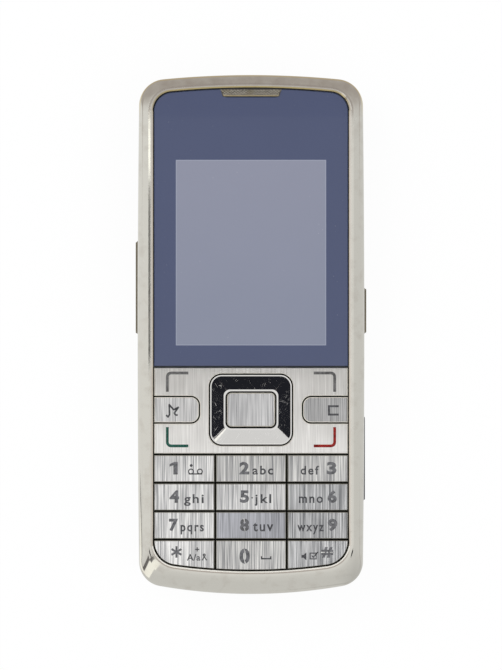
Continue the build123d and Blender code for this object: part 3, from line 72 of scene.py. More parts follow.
# ------------------------------------------------------------------------------ node wiring
class Wiring:
    """A pen for one node tree: it makes nodes, sets their sockets and joins them."""

    noise_low = 0.3
    noise_high = 0.7

    def __init__(self, tree: bpy.types.NodeTree) -> None:
        """Keeps the tree that the pen writes to."""
        self.tree = tree

    def feed(self, socket: Socket, value: object) -> None:
        """Gives a socket a link or a constant.

        Args:
            socket: The input to set.
            value: Another node's output socket, or the constant. A colour has three channels.
        """
        if isinstance(value, Socket):
            self.tree.links.new(value, socket)
        elif socket.type == "RGBA":
            socket.default_value = (*value, 1.0)
        else:
            socket.default_value = value

    def fill(self, node: Node, **inputs: object) -> Node:
        """Sets a node's inputs.

        Args:
            node: The node.
            **inputs: Sockets by name, with underscores for spaces.

        Returns:
            The same node.
        """
        for name, value in inputs.items():
            self.feed(node.inputs[name.replace("_", " ")], value)
        return node

    def add(self, kind: str, settings: dict | None = None, **inputs: object) -> Node:
        """Makes a node.

        Args:
            kind: The node's type name.
            settings: Properties of the node itself.
            **inputs: Sockets by name, with underscores for spaces.

        Returns:
            The new node.
        """
        node = self.tree.nodes.new(kind)
        for name, value in (settings or {}).items():
            setattr(node, name, value)
        return self.fill(node, **inputs)

    def numbered(self, kind: str, settings: dict, values: Iterable[tuple[int, object]]) -> Node:
        """Makes a node whose inputs go by number, since they share a name.

        Args:
            kind: The node's type name.
            settings: Properties of the node itself.
            values: Numbers of the inputs and what they get.

        Returns:
            The new node.
        """
        node = self.add(kind, settings)
        for index, value in values:
            self.feed(node.inputs[index], value)
        return node

    def math(self, operation: str, *values: object) -> Socket:
        """Returns the result of a Math node on one value or two."""
        return self.numbered("ShaderNodeMath", {"operation": operation}, enumerate(values)).outputs[0]

    def plus(self, first: object, second: object) -> Socket:
        """Returns the sum of two values."""
        return self.math("ADD", first, second)

    def minus(self, first: object, second: object) -> Socket:
        """Returns the first value less the second."""
        return self.math("SUBTRACT", first, second)

    def times(self, first: object, second: object) -> Socket:
        """Returns the product of two values."""
        return self.math("MULTIPLY", first, second)

    def least(self, first: object, second: object) -> Socket:
        """Returns the smaller of two values."""
        return self.math("MINIMUM", first, second)

    def most(self, first: object, second: object) -> Socket:
        """Returns the larger of two values."""
        return self.math("MAXIMUM", first, second)

    def held(self, value: object) -> Socket:
        """Returns a value held between 0 and 1."""
        return self.least(self.most(value, 0.0), 1.0)

    def vector(self, operation: str, *values: object) -> Node:
        """Returns a Vector Math node on one vector or two."""
        return self.numbered("ShaderNodeVectorMath", {"operation": operation}, enumerate(values))

    def mix(self, share: object, first: object, second: object) -> Socket:
        """Returns a colour between two, by share."""
        inputs = ((0, share), (6, first), (7, second))
        return self.numbered("ShaderNodeMix", {"data_type": "RGBA"}, inputs).outputs[2]

    def span(
        self, value: object, low: float, high: float, to_low: float = 0.0, to_high: float = 1.0
    ) -> Socket:
        """Returns a value carried from one range to another, clamped."""
        inputs = enumerate((value, low, high, to_low, to_high))
        return self.numbered("ShaderNodeMapRange", {"clamp": True}, inputs).outputs[0]

    def noise(self, vector: object, scale: float, detail: float) -> Socket:
        """Returns the value of a noise texture."""
        return self.add("ShaderNodeTexNoise", Vector=vector, Scale=scale, Detail=detail).outputs["Fac"]

    def cloud(self, vector: object, scale: float, detail: float, low: float, high: float) -> Socket:
        """Returns soft noise spread between two values."""
        return self.span(self.noise(vector, scale, detail), self.noise_low, self.noise_high, low, high)

    def place(self) -> Socket:
        """Returns the point on the piece, in metres in the part's frame."""
        return self.add("ShaderNodeTexCoord").outputs["Object"]

    def axes(self, vector: object) -> Sequence[Socket]:
        """Returns a vector's X, Y and Z."""
        return self.add("ShaderNodeSeparateXYZ", Vector=vector).outputs

    def facing_up(self) -> Socket:
        """Returns how far a face looks up, from -1 to 1."""
        return self.axes(self.add("ShaderNodeNewGeometry").outputs["True Normal"])[2]

    def per_mm(self, vector: object, count: object) -> Socket:
        """Returns a vector in metres multiplied by a count per millimetre."""
        scaled = self.vector("SCALE", vector)
        return self.fill(scaled, Scale=self.times(count, 1 / MM)).outputs[0]


def emptied(owner: bpy.types.Material | bpy.types.World) -> Wiring:
    """Clears a material's or a world's nodes.

    Args:
        owner: The material or world.

    Returns:
        A pen for its tree.
    """
    owner.use_nodes = True
    owner.node_tree.nodes.clear()
    return Wiring(owner.node_tree)


# ------------------------------------------------------------------------------ shared effects
class Effect(Enum):
    """Surface effects that several finishes use, each a node group that is built once."""

    STREAKS = "brushed_streaks"
    SCUFFS = "hairline_scuffs"
    DUST = "dust_specks"
    GRAIN = "moulded_grain"
    WEAR = "edge_wear"
    ROOM = "room_tone"


class EffectGroups:
    """Builds each effect's node group the first time it is asked for."""

    streak_ratio = 0.018
    streak_broad = 0.36
    streak_share = 0.78
    streak_gain = 3.2
    scuff_turns = ((0.7, 0.0), (-0.45, 3.7), (1.9, 8.1))
    scuff_shape = (1.0, 0.05, 0.05)
    scuff_edge = 0.80
    scuff_reach = 0.16
    scuff_gain = 14.0
    scuff_patches = 300.0
    speck_scale = 2600.0
    speck_patches = 120.0
    speck_edge = 0.86
    speck_reach = 0.12
    speck_gain = 20.0
    grain_broad = 0.03
    worn_from = 0.985
    worn_to = 0.86
    worn_patches = 900.0
    east_shade = 0.15
    south_shade = 0.17
    north_tone = (0.61, 0.575, 0.555)

    def __init__(self) -> None:
        """Starts with no group built."""
        self.built: dict[Effect, bpy.types.NodeTree] = {}

    def get(self, effect: Effect) -> bpy.types.NodeTree:
        """Returns an effect's group.

        Args:
            effect: Which effect. The method of the same name builds it.

        Returns:
            The group, built if it isn't there yet.
        """
        if effect not in self.built:
            self.built[effect] = getattr(self, effect.name.lower())()
        return self.built[effect]

    def blank(
        self, effect: Effect, inputs: dict[str, float], outputs: Sequence[str]
    ) -> tuple[Wiring, dict[str, Socket], Node]:
        """Makes an empty group with named float sockets; an output named Colour is a colour.

        Args:
            effect: Gives the group its name.
            inputs: Names of the inputs and their defaults.
            outputs: Names of the outputs.

        Returns:
            The pen for the group, its input sockets by name, and its output node.
        """
        tree = bpy.data.node_groups.new(effect.value, "ShaderNodeTree")
        for name, value in inputs.items():
            socket = tree.interface.new_socket(name, in_out="INPUT", socket_type="NodeSocketFloat")
            socket.default_value = value
        for name in outputs:
            kind = "NodeSocketColor" if name == "Colour" else "NodeSocketFloat"
            tree.interface.new_socket(name, in_out="OUTPUT", socket_type=kind)
        pen = Wiring(tree)
        source = pen.add("NodeGroupInput")
        return pen, {name: source.outputs[name] for name in inputs}, pen.add("NodeGroupOutput")

    def streaks(self) -> bpy.types.NodeTree:
        """Lines of brushed metal that run along Y. Returns the group."""
        inputs = {"Lines per mm": 6.5, "Contrast": 1.0, "Shift": 0.0}
        pen, given, out = self.blank(Effect.STREAKS, inputs, ("Tone", "Height"))
        across = pen.times(given["Lines per mm"], 1 / MM)
        along = pen.times(across, self.streak_ratio)
        x, y, z = pen.axes(pen.place())
        drawn = pen.add(
            "ShaderNodeCombineXYZ",
            X=pen.plus(pen.times(x, across), given["Shift"]),
            Y=pen.plus(pen.times(y, along), given["Shift"]),
            Z=pen.times(z, along),
        ).outputs[0]
        fine = pen.noise(drawn, 1.0, 1.0)
        broad = pen.noise(drawn, self.streak_broad, 1.0)
        both = pen.plus(pen.times(fine, self.streak_share), pen.times(broad, 1 - self.streak_share))
        centred = pen.times(pen.minus(both, 0.5), given["Contrast"])
        pen.fill(out, Tone=pen.plus(pen.times(centred, self.streak_gain), 0.5), Height=fine)
        return pen.tree

    def scuffs(self) -> bpy.types.NodeTree:
        """Sparse hairline scratches in three directions. Returns the group."""
        pen, given, out = self.blank(Effect.SCUFFS, {"Amount": 0.5, "Lines per mm": 2.0}, ("Mask",))
        place = pen.place()
        edge = pen.minus(self.scuff_edge, pen.times(given["Amount"], self.scuff_reach))
        hits = []
        for turn, shift in self.scuff_turns:
            turned = pen.add("ShaderNodeVectorRotate", {"rotation_type": "Z_AXIS"}, Vector=place, Angle=turn)
            drawn = pen.per_mm(turned.outputs[0], given["Lines per mm"])
            drawn = pen.vector("MULTIPLY", drawn, self.scuff_shape).outputs[0]
            lines = pen.noise(pen.vector("ADD", drawn, (shift, shift, 0.0)).outputs[0], 1.6, 1.0)
            patches = pen.noise(place, self.scuff_patches + 40 * shift, 1.0)
            hit = pen.times(pen.minus(lines, edge), self.scuff_gain)
            hits.append(pen.held(pen.times(hit, pen.span(patches, 0.45, 0.6))))
        pen.fill(out, Mask=reduce(pen.most, hits))
        return pen.tree

    def dust(self) -> bpy.types.NodeTree:
        """Fine specks, thicker in patches. Returns the group."""
        pen, given, out = self.blank(Effect.DUST, {"Amount": 0.3}, ("Mask",))
        place = pen.place()
        edge = pen.minus(self.speck_edge, pen.times(given["Amount"], self.speck_reach))
        hit = pen.times(pen.minus(pen.noise(place, self.speck_scale, 0.0), edge), self.speck_gain)
        patches = pen.span(pen.noise(place, self.speck_patches, 2.0), 0.4, 0.7, 0.2, 1.0)
        pen.fill(out, Mask=pen.held(pen.times(hit, patches)))
        return pen.tree

    def grain(self) -> bpy.types.NodeTree:
        """The fine spark-eroded grain of a moulding. Returns the group."""
        pen, given, out = self.blank(Effect.GRAIN, {"Grains per mm": 6.0}, ("Tone", "Height"))
        drawn = pen.per_mm(pen.place(), given["Grains per mm"])
        fine = pen.noise(drawn, 1.0, 2.0)
        broad = pen.noise(drawn, self.grain_broad, 2.0)
        pen.fill(out, Tone=pen.plus(pen.times(fine, 0.5), pen.times(broad, 0.5)), Height=fine)
        return pen.tree

    def wear(self) -> bpy.types.NodeTree:
        """Where an edge is rubbed bright. Returns the group."""
        pen, given, out = self.blank(Effect.WEAR, {"Width in mm": 0.12, "Amount": 1.0}, ("Mask",))
        rounded = pen.add("ShaderNodeBevel", {"samples": 4}, Radius=pen.times(given["Width in mm"], MM))
        true_normal = pen.add("ShaderNodeNewGeometry").outputs["Normal"]
        facing = pen.vector("DOT_PRODUCT", rounded.outputs[0], true_normal).outputs["Value"]
        edge = pen.span(facing, self.worn_from, self.worn_to)
        broken = pen.span(pen.noise(pen.place(), self.worn_patches, 3.0), 0.35, 0.6, 0.25, 1.0)
        pen.fill(out, Mask=pen.times(pen.times(edge, broken), given["Amount"]))
        return pen.tree

    def room(self) -> bpy.types.NodeTree:
        """How light the room is to each side: brown far north, greyer east and south. Returns the group."""
        pen, given, out = self.blank(Effect.ROOM, {"East": 0.0, "North": 0.0}, ("Colour",))
        east = pen.span(given["East"], 0.1, 0.7, 0.0, self.east_shade)
        south = pen.span(given["North"], -0.1, -0.7, 0.0, self.south_shade)
        light = pen.minus(pen.minus(1.0, east), south)
        grey = pen.add("ShaderNodeCombineColor", Red=light, Green=light, Blue=light).outputs[0]
        pen.fill(out, Colour=pen.mix(pen.span(given["North"], 0.14, 0.5), grey, self.north_tone))
        return pen.tree


EFFECTS = EffectGroups()


# ------------------------------------------------------------------------------ finishes
@dataclass(frozen=True)
class Finish:
    """A surface finish; each kind of finish writes its own node material."""

    name: str
    colour: Colour
    roughness: float = 0.4

    def material(self) -> bpy.types.Material:
        """Returns the finish's material, made the first time it is asked for."""
        found = bpy.data.materials.get(self.name)
        if found is None:
            found = bpy.data.materials.new(self.name)
            pen = emptied(found)
            shader = pen.add("ShaderNodeBsdfPrincipled", Roughness=self.roughness)
            pen.add("ShaderNodeOutputMaterial", {"is_active_output": True}, Surface=shader.outputs[0])
            self.write(pen, shader)
        return found

    def write(self, pen: Wiring, shader: Node) -> None:
        """Writes the finish's own nodes.

        Args:
            pen: The pen for the material's tree.
            shader: The Principled shader that they feed.
        """
        raise NotImplementedError

    def effect(self, pen: Wiring, effect: Effect, **inputs: object) -> Sequence[Socket]:
        """Places a shared effect in the material.

        Args:
            pen: The pen for the material's tree.
            effect: Which effect.
            **inputs: The group's own values, with underscores for spaces.

        Returns:
            The group node's outputs.
        """
        return pen.add("ShaderNodeGroup", {"node_tree": EFFECTS.get(effect)}, **inputs).outputs

    def bump(self, pen: Wiring, shader: Node, height: Socket, depth: float, strength: float) -> None:
        """Feeds the shader's normal from a height.

        Args:
            pen: The pen for the material's tree.
            shader: The shader.
            height: Socket with the height, from 0 to 1.
            depth: Depth of the relief, in millimetres.
            strength: How much of it shows.
        """
        relief = pen.add("ShaderNodeBump", Strength=strength, Distance=depth * MM, Height=height)
        pen.fill(shader, Normal=relief.outputs[0])


@dataclass(frozen=True)
class BrushedMetal(Finish):
    """Steel brushed along Y, cloudy in patches, with painted light on its bevels (a pale bevel colour is a
    painted highlight, a dark one painted shade), a painted light gradient along Y when asked for, and rubbed
    edges.
    """

    dark: Colour = (0.3, 0.3, 0.32)
    contrast: float = 1.0
    lines: float = 6.5
    spread: float = 0.2
    patch_scale: float = 170.0
    # painted light: how much lighter the low end of slope_y is, and how much darker the high end
    painted_light_low: float = 0.0
    slope_y: tuple[float, float] = (-25.0, -7.0)
    edge: float = 0.3
    edge_width: float = 0.1
    rubbed: Colour = (0.9, 0.89, 0.86)
    # painted light on faces tilted between the top and the sides: a pale colour paints a highlight, a dark
    # one paints shade
    bevel: Colour = (0.97, 0.95, 0.88)
    shift_range: float = 90.0

    def write(self, pen: Wiring, shader: Node) -> None:
        """Writes streaks in colour, roughness and relief, then patches, a painted light gradient along Y,
        painted light on the bevels and worn edges.
        """
        own = pen.times(pen.add("ShaderNodeObjectInfo").outputs["Random"], self.shift_range)
        streaks = self.effect(pen, Effect.STREAKS, Lines_per_mm=self.lines, Contrast=self.contrast, Shift=own)
        place = pen.place()
        patch = pen.times(pen.minus(pen.noise(place, self.patch_scale, 1.0), 0.5), 2 * self.spread)
        low, high = (y * MM for y in self.slope_y)
        # painted light gradient: lighter towards low Y, darker towards high Y
        painted_light_slope = pen.span(pen.axes(place)[1], low, high, self.painted_light_low, -self.painted_light_low)
        tone = pen.mix(pen.held(pen.plus(pen.plus(streaks["Tone"], patch), painted_light_slope)), self.dark, self.colour)
        up = pen.facing_up()
        # bevel faces take the painted bevel colour: a highlight when pale, shade when dark
        with_painted_bevel = pen.mix(pen.times(pen.span(up, 0.97, 0.9), pen.span(up, 0.1, 0.3)), tone, self.bevel)
        worn = self.effect(pen, Effect.WEAR, Width_in_mm=self.edge_width, Amount=self.edge)["Mask"]
        rough = pen.span(streaks["Tone"], 0.0, 1.0, self.roughness + 0.08, self.roughness - 0.06)
        pen.fill(shader, Base_Color=pen.mix(worn, with_painted_bevel, self.rubbed), Roughness=rough, Metallic=0.9)
        self.bump(pen, shader, streaks["Height"], 0.02, 0.35)


@dataclass(frozen=True)
class PolishedMetal(Finish):
    """Mirror-polished plating with hairline scuffs, a random tarnish mottle, painted shade towards the top
    end, and a painted gold reflection on steep edges there.
    """

    # tarnish colour of the random mottle, also mixed in as painted shade on the top end by top_shade_share
    tarnish_and_top_shade: Colour = (0.5, 0.47, 0.4)
    top_shade_from: float = 45.0
    top_shade_over: float = 6.0
    top_shade_share: float = 0.0
    # painted gold reflection on steep faces at the top end
    painted_gold_reflection: Colour = (0.62, 0.50, 0.24)
    gold_reflection_share: float = 0.0
    gold_reflection_below: float = 0.3
    scuff: float = 0.4
    scuff_lines: float = 3.0
    mottle: float = 0.06
    cloud_scale: float = 420.0
    wave_scale: float = 240.0
    blackened_below: float = 0.0
    blackened: Colour = (0.008, 0.008, 0.006)

    def write(self, pen: Wiring, shader: Node) -> None:
        """Writes a soft tarnish mottle, painted shade and a painted gold reflection towards the top end,
        scuffs and a blackened foot.
        """
        place = pen.place()
        _, y, z = pen.axes(place)
        # painted shade: the top end darkens towards the tarnish colour
        top = pen.span(y, self.top_shade_from * MM, (self.top_shade_from + self.top_shade_over) * MM)
        cloud = pen.cloud(place, self.cloud_scale, 4.0, -self.mottle, self.mottle)
        mottle_and_top_shade = pen.most(pen.plus(pen.times(top, self.top_shade_share), cloud), 0.0)
        tarnished_and_shaded = pen.mix(mottle_and_top_shade, self.colour, self.tarnish_and_top_shade)
        up = pen.facing_up()
        # painted reflection: steep faces at the top end turn gold
        steep = pen.span(up, self.gold_reflection_below + 0.15, self.gold_reflection_below, 0.0, self.gold_reflection_share)
        with_gold_reflection = pen.mix(pen.times(top, pen.times(steep, pen.span(up, 0.02, 0.08))), tarnished_and_shaded, self.painted_gold_reflection)
        scuffs = self.effect(pen, Effect.SCUFFS, Amount=self.scuff, Lines_per_mm=self.scuff_lines)["Mask"]
        rubbed = pen.mix(scuffs, with_gold_reflection, shaded(self.colour, 1.15))
        foot = pen.span(z, (self.blackened_below - 0.1) * MM, self.blackened_below * MM, 1.0, 0.0)
        wavy = pen.cloud(place, self.cloud_scale, 3.0, self.roughness * 0.8, self.roughness * 1.2)
        rough = pen.most(pen.plus(wavy, pen.times(scuffs, 0.3)), pen.times(foot, 0.6))
        pen.fill(shader, Base_Color=pen.mix(foot, rubbed, self.blackened), Roughness=rough, Metallic=1.0)
        self.bump(pen, shader, pen.noise(place, self.wave_scale, 2.0), 0.02, 0.12)


@dataclass(frozen=True)
class TintedWindow(Finish):
    """Gloss pane printed slate blue on its back, with the display showing through its clear middle."""

    display: Colour = (0.24, 0.251, 0.323)
    display_low: Colour = (0.211, 0.231, 0.304)
    # painted highlight: the pale line round the display's edge
    display_edge_highlight: Colour = (0.42, 0.45, 0.55)
    speck: Colour = (0.5, 0.5, 0.52)
    half_width: float = 15.6
    half_height: float = 19.25
    centre_y: float = 16.98
    line: float = 0.12
    soft: float = 0.05
    haze_scale: float = 90.0
    dust: float = 0.12

    def write(self, pen: Wiring, shader: Node) -> None:
        """Writes the print, the display area darker towards the bottom with a painted highlight line round
        its edge, and specks under a clear gloss coat.
        """
        place = pen.place()
        x, y, _ = pen.axes(place)
        half_width, half_height = self.half_width * MM, self.half_height * MM
        above = pen.minus(y, self.centre_y * MM)
        beside = pen.minus(half_width, pen.math("ABSOLUTE", x))
        inside = pen.least(beside, pen.minus(half_height, pen.math("ABSOLUTE", above)))
        shown = pen.span(inside, 0.0, self.soft * MM)
        # mask of the painted highlight line just inside the display's edge
        display_edge_highlight = pen.minus(shown, pen.span(inside, self.line * MM, 2 * self.line * MM))
        # the display is painted darker towards the bottom
        glow = pen.mix(pen.span(above, -half_height, half_height), self.display_low, self.display)
        haze = pen.cloud(place, self.haze_scale, 3.0, 0.0, 0.12)
        ink = pen.mix(haze, self.colour, shaded(self.colour, 1.25))
        base = pen.mix(shown, ink, pen.mix(haze, glow, shaded(self.display, 1.1)))
        lined = pen.mix(pen.times(display_edge_highlight, 0.35), base, self.display_edge_highlight)
        dust = self.effect(pen, Effect.DUST, Amount=self.dust)["Mask"]
        pen.fill(
            shader,
            Base_Color=pen.mix(pen.times(dust, 0.5), lined, self.speck),
            Roughness=pen.plus(pen.times(dust, 0.3), self.roughness),
            Specular_IOR_Level=0.3,
            Coat_Weight=0.3,
            Coat_Roughness=0.02,
        )


@dataclass(frozen=True)
class Moulding(Finish):
    """Moulded or painted plastic with a fine grain, dust and slightly rubbed edges."""

    metallic: float = 0.0
    grains: float = 6.0
    relief: float = 0.25
    coat: float = 0.0
    edge: float = 0.25
    edge_width: float = 0.15
    dust: float = 0.25
    speck: Colour = (0.55, 0.54, 0.52)

    def write(self, pen: Wiring, shader: Node) -> None:
        """Writes the grain, dust and edges."""
        grain = self.effect(pen, Effect.GRAIN, Grains_per_mm=self.grains)
        low, high = pen.noise_low, pen.noise_high
        spread = pen.span(grain["Tone"], low, high)
        tone = pen.mix(spread, shaded(self.colour, 0.88), shaded(self.colour, 1.12))
        worn = self.effect(pen, Effect.WEAR, Width_in_mm=self.edge_width, Amount=self.edge)["Mask"]
        rubbed = pen.mix(worn, tone, shaded(self.colour, 1.5, 0.05))
        dust = self.effect(pen, Effect.DUST, Amount=self.dust)["Mask"]
        pen.fill(
            shader,
            Base_Color=pen.mix(pen.times(dust, 0.5), rubbed, self.speck),
            Roughness=pen.span(grain["Tone"], low, high, self.roughness - 0.05, self.roughness + 0.08),
            Metallic=self.metallic,
            Coat_Weight=self.coat,
        )
        self.bump(pen, shader, grain["Height"], 0.03, self.relief)


@dataclass(frozen=True)
class Ink(Finish):
    """Etched and filled legend, slightly uneven in its tone."""

    patch_scale: float = 1500.0

    def write(self, pen: Wiring, shader: Node) -> None:
        """Writes the ink's mottle."""
        patch = pen.span(pen.noise(pen.place(), self.patch_scale, 3.0), 0.35, 0.65)
        tone = pen.mix(patch, shaded(self.colour, 0.7), shaded(self.colour, 1.45))
        pen.fill(shader, Base_Color=tone, Specular_IOR_Level=0.15)


@dataclass(frozen=True)
class LensGlass(Finish):
    """Coated glass over the camera."""

    speck: Colour = (0.6, 0.6, 0.6)

    def write(self, pen: Wiring, shader: Node) -> None:
        """Writes clear dark glass with a few specks."""
        dust = self.effect(pen, Effect.DUST, Amount=0.1)["Mask"]
        tone = pen.mix(dust, self.colour, self.speck)
        pen.fill(shader, Base_Color=tone, Transmission_Weight=0.9, Coat_Weight=0.5)


@dataclass(frozen=True)
class Card(Finish):
    """Plain glowing or dark card that hangs in the studio."""

    def material(self) -> bpy.types.Material:
        """Returns a material that only emits the card's colour."""
        paint = bpy.data.materials.new(self.name)
        pen = emptied(paint)
        glow = pen.add("ShaderNodeEmission", Color=self.colour, Strength=1.0)
        pen.add("ShaderNodeOutputMaterial", Surface=glow.outputs[0])
        return paint


class Palette:
    """The finishes of the phone, named after what they are on."""

    # the bezel and the lip take painted shade on their top end through top_shade_share
    bezel = PolishedMetal(
        "bezel_champagne", (0.63, 0.615, 0.56), 0.055, tarnish_and_top_shade=(0.46, 0.42, 0.37), top_shade_share=0.5,
        # gold_reflection_share paints a gold reflection on the bezel's steep top-end faces
        gold_reflection_share=0.9, gold_reflection_below=0.42, scuff=0.25, mottle=0.3,
    )
    lip = PolishedMetal(
        "bezel_lip", (0.69, 0.655, 0.60), 0.28, tarnish_and_top_shade=(0.42, 0.38, 0.33), top_shade_share=0.6, scuff=0.1
    )
    # the inner lip's top end is painted gold, as a painted reflection
    inner_lip = replace(
        lip, name="bezel_lip_inner", colour=(0.62, 0.56, 0.48), painted_gold_reflection=(0.50, 0.41, 0.20), gold_reflection_share=1.0,
        gold_reflection_below=0.95,
    )
    # painted highlight: the lip's inner face below the keypad is a pale cream plastic colour
    lip_painted_highlight = Moulding("bezel_lip_low_painted_highlight", (0.82, 0.79, 0.71), 0.4, relief=0.05, edge=0.0, dust=0.05)
    # the keys' bevels are painted dark, as painted shade beside the gaps
    keys = BrushedMetal(
        "keys_brushed", (0.85, 0.84, 0.81), 0.34, dark=(0.32, 0.32, 0.33), bevel=(0.34, 0.33, 0.28)
    )
    # lit and shaded copies of the key finish, as painted light: paler for keys painted lit, darker for keys
    # painted in shade, darker and cooler for key 8
    bright_keys = replace(keys, name="keys_brushed_painted_lit", colour=(1.0, 0.99, 0.97), dark=(0.40, 0.40, 0.41))
    dim_keys = replace(keys, name="keys_brushed_painted_shade", colour=(0.74, 0.74, 0.74), dark=(0.21, 0.215, 0.225))
    blue_keys = replace(
        keys, name="keys_brushed_painted_cool_shade", colour=(0.60, 0.605, 0.65), dark=(0.27, 0.275, 0.295), contrast=0.8
    )
    calm_keys = BrushedMetal(
        "keys_brushed_calm", (0.84, 0.835, 0.83), 0.34, dark=(0.36, 0.36, 0.37), contrast=0.7
    )
    # lit and shaded copies of the calm finish, as painted light
    calm_bright_keys = replace(
        calm_keys, name="keys_brushed_calm_painted_lit", colour=(0.94, 0.93, 0.92), dark=(0.42, 0.42, 0.42)
    )
    calm_dim_keys = replace(
        calm_keys, name="keys_brushed_calm_painted_shade", colour=(0.66, 0.655, 0.65), dark=(0.26, 0.26, 0.265)
    )
    # the plate is painted lighter towards its low end, as painted light
    plate = BrushedMetal(
        "plate_brushed", (0.96, 0.945, 0.915), 0.34, dark=(0.55, 0.535, 0.51), contrast=0.4, spread=0.25,
        painted_light_low=0.32,
    )
    ring = PolishedMetal(
        "ring_mirror", (0.70, 0.69, 0.67), 0.05, scuff=0.75, scuff_lines=6.5, mottle=0.0, blackened_below=12.3
    )
    window = TintedWindow("window_slate", (0.058, 0.073, 0.142), 0.25)
    weave = PolishedMetal(
        "earpiece_wire", (0.68, 0.64, 0.55), 0.22, scuff=0.2, mottle=0.5, tarnish_and_top_shade=(0.35, 0.28, 0.14)
    )
    weave_frame = PolishedMetal("earpiece_brass", (0.48, 0.41, 0.25), 0.2, scuff=0.2, mottle=0.2)
    gold_trim = Moulding("trim_champagne", (0.20, 0.175, 0.125), 0.45, metallic=0.4, relief=0.08)
    shell = Moulding("shell_satin_grey", (0.20, 0.20, 0.21), 0.42, metallic=0.25)
    port_cover = Moulding("port_cover_rubber", (0.11, 0.11, 0.115), 0.5)
    gap_black = Moulding("keymat_black", (0.005, 0.005, 0.003), 0.8, relief=0.1, edge=0.0, dust=0.05)
    inner = Moulding("inner_plastic", (0.035, 0.035, 0.037), 0.55, edge=0.0)
    felt = Moulding("earpiece_felt", (0.075, 0.07, 0.06), 0.9, grains=9.0, edge=0.0)
    foam = Moulding("foam_black", (0.015, 0.015, 0.015), 0.9, grains=3.0, relief=0.8, edge=0.0)
    steel = BrushedMetal(
        "sheet_steel", (0.62, 0.62, 0.64), 0.3, dark=(0.4, 0.4, 0.42), contrast=0.5, edge=0.2
    )
    board = Moulding("circuit_board", (0.02, 0.11, 0.055), 0.35, coat=0.3, edge=0.0)
    film = Moulding("flex_film", (0.45, 0.22, 0.05), 0.3, coat=0.4, edge=0.0)
    light_guide = Moulding("light_guide", (0.75, 0.77, 0.80), 0.3, edge=0.0)
    panel = Moulding("display_glass", (0.05, 0.055, 0.065), 0.08, coat=0.8, relief=0.0, edge=0.0)
    battery = Moulding("battery_wrap", (0.03, 0.03, 0.033), 0.35, coat=0.2)
    sim = Moulding("sim_card_white", (0.78, 0.78, 0.75), 0.35, edge=0.0)
    copper = Moulding("antenna_copper", (0.60, 0.38, 0.20), 0.35, metallic=0.9, edge=0.0)
    camera_trim = PolishedMetal("camera_trim", (0.70, 0.70, 0.71), 0.12)
    lens = LensGlass("camera_lens", (0.30, 0.32, 0.40), 0.03)
    ink = Ink("legend_grey", (0.072, 0.072, 0.076), 0.6)
    digit_ink = Ink("digit_grey", (0.12, 0.12, 0.125), 0.6)
    mark_grey = Ink("mark_grey", (0.105, 0.102, 0.10), 0.6)
    mark_green = Ink("mark_green", (0.018, 0.075, 0.055), 0.6)
    mark_red = Ink("mark_red", (0.21, 0.014, 0.011), 0.6)
    dark_card = Card("card_dark", (0.017, 0.018, 0.024))
    black_strip = Card("card_black_strip", (0.01, 0.009, 0.006))
    bright_strip = Card("card_bright_strip", (2.1, 2.1, 2.0))
    brown_card = Card("card_brown", (0.55, 0.51, 0.50))
    grey_wedge = Card("card_grey_wedge", (0.22, 0.21, 0.21))
    bright_wedge = Card("card_bright_wedge", (1.35, 1.34, 1.28))


# ------------------------------------------------------------------------------ mesh tools
def linked(name: str, data: bpy.types.ID) -> bpy.types.Object:
    """Makes an object and puts it in the scene.

    Args:
        name: The object's name.
        data: Its mesh, curve, camera or light.

    Returns:
        The object.
    """
    made = bpy.data.objects.new(name, data)
    bpy.context.scene.collection.objects.link(made)
    return made


def piece(name: str, points: Iterable[Sequence[float]], faces: Iterable[Sequence[int]], finish: Finish,
          smooth_below: float = 0.0) -> bpy.types.Object:
    """Makes one piece from points in millimetres.

    Args:
        name: The piece's name.
        points: Points in millimetres.
        faces: Indices of each face's points.
        finish: What it is finished in.
        smooth_below: Faces that meet at less than this angle, in degrees, are shaded smooth.

    Returns:
        The linked object, with outward normals.
    """
    mesh = bpy.data.meshes.new(name)
    mesh.from_pydata([tuple(value * MM for value in point) for point in points], [], list(faces))
    shape = bmesh.new()
    shape.from_mesh(mesh)
    bmesh.ops.remove_doubles(shape, verts=shape.verts, dist=1e-7)
    bmesh.ops.recalc_face_normals(shape, faces=shape.faces)
    shape.to_mesh(mesh)
    shape.free()
    if smooth_below:
        mesh.polygons.foreach_set("use_smooth", [True] * len(mesh.polygons))
        mesh.set_sharp_from_angle(angle=math.radians(smooth_below))
    mesh.materials.append(finish.material())
    return linked(name, mesh)


def bridged(rings: Sequence[Sequence[Sequence[float]]], closed: bool = False) -> Shape:
    """Joins loops of equally many points by quads.

    Args:
        rings: The loops, in order.
        closed: Whether the last loop joins the first. If not, both ends are filled.

    Returns:
        Points and faces.
    """
    count = len(rings[0])
    points = [point for ring in rings for point in ring]
    faces = []
    for row in range(len(rings) if closed else len(rings) - 1):
        low, high = row * count, (row + 1) % len(rings) * count
        for step in range(count):
            after = (step + 1) % count
            faces.append((low + step, low + after, high + after, high + step))
    if not closed:
        faces += [tuple(range(count)), tuple(range(len(points) - count, len(points)))]
    return points, faces


def merged(shapes: Iterable[Shape]) -> Shape:
    """Puts several shapes in one.

    Args:
        shapes: Points and faces of each.

    Returns:
        Points and faces of all.
    """
    points: list = []
    faces: list = []
    for own_points, own_faces in shapes:
        faces += [tuple(index + len(points) for index in face) for face in own_faces]
        points += own_points
    return points, faces


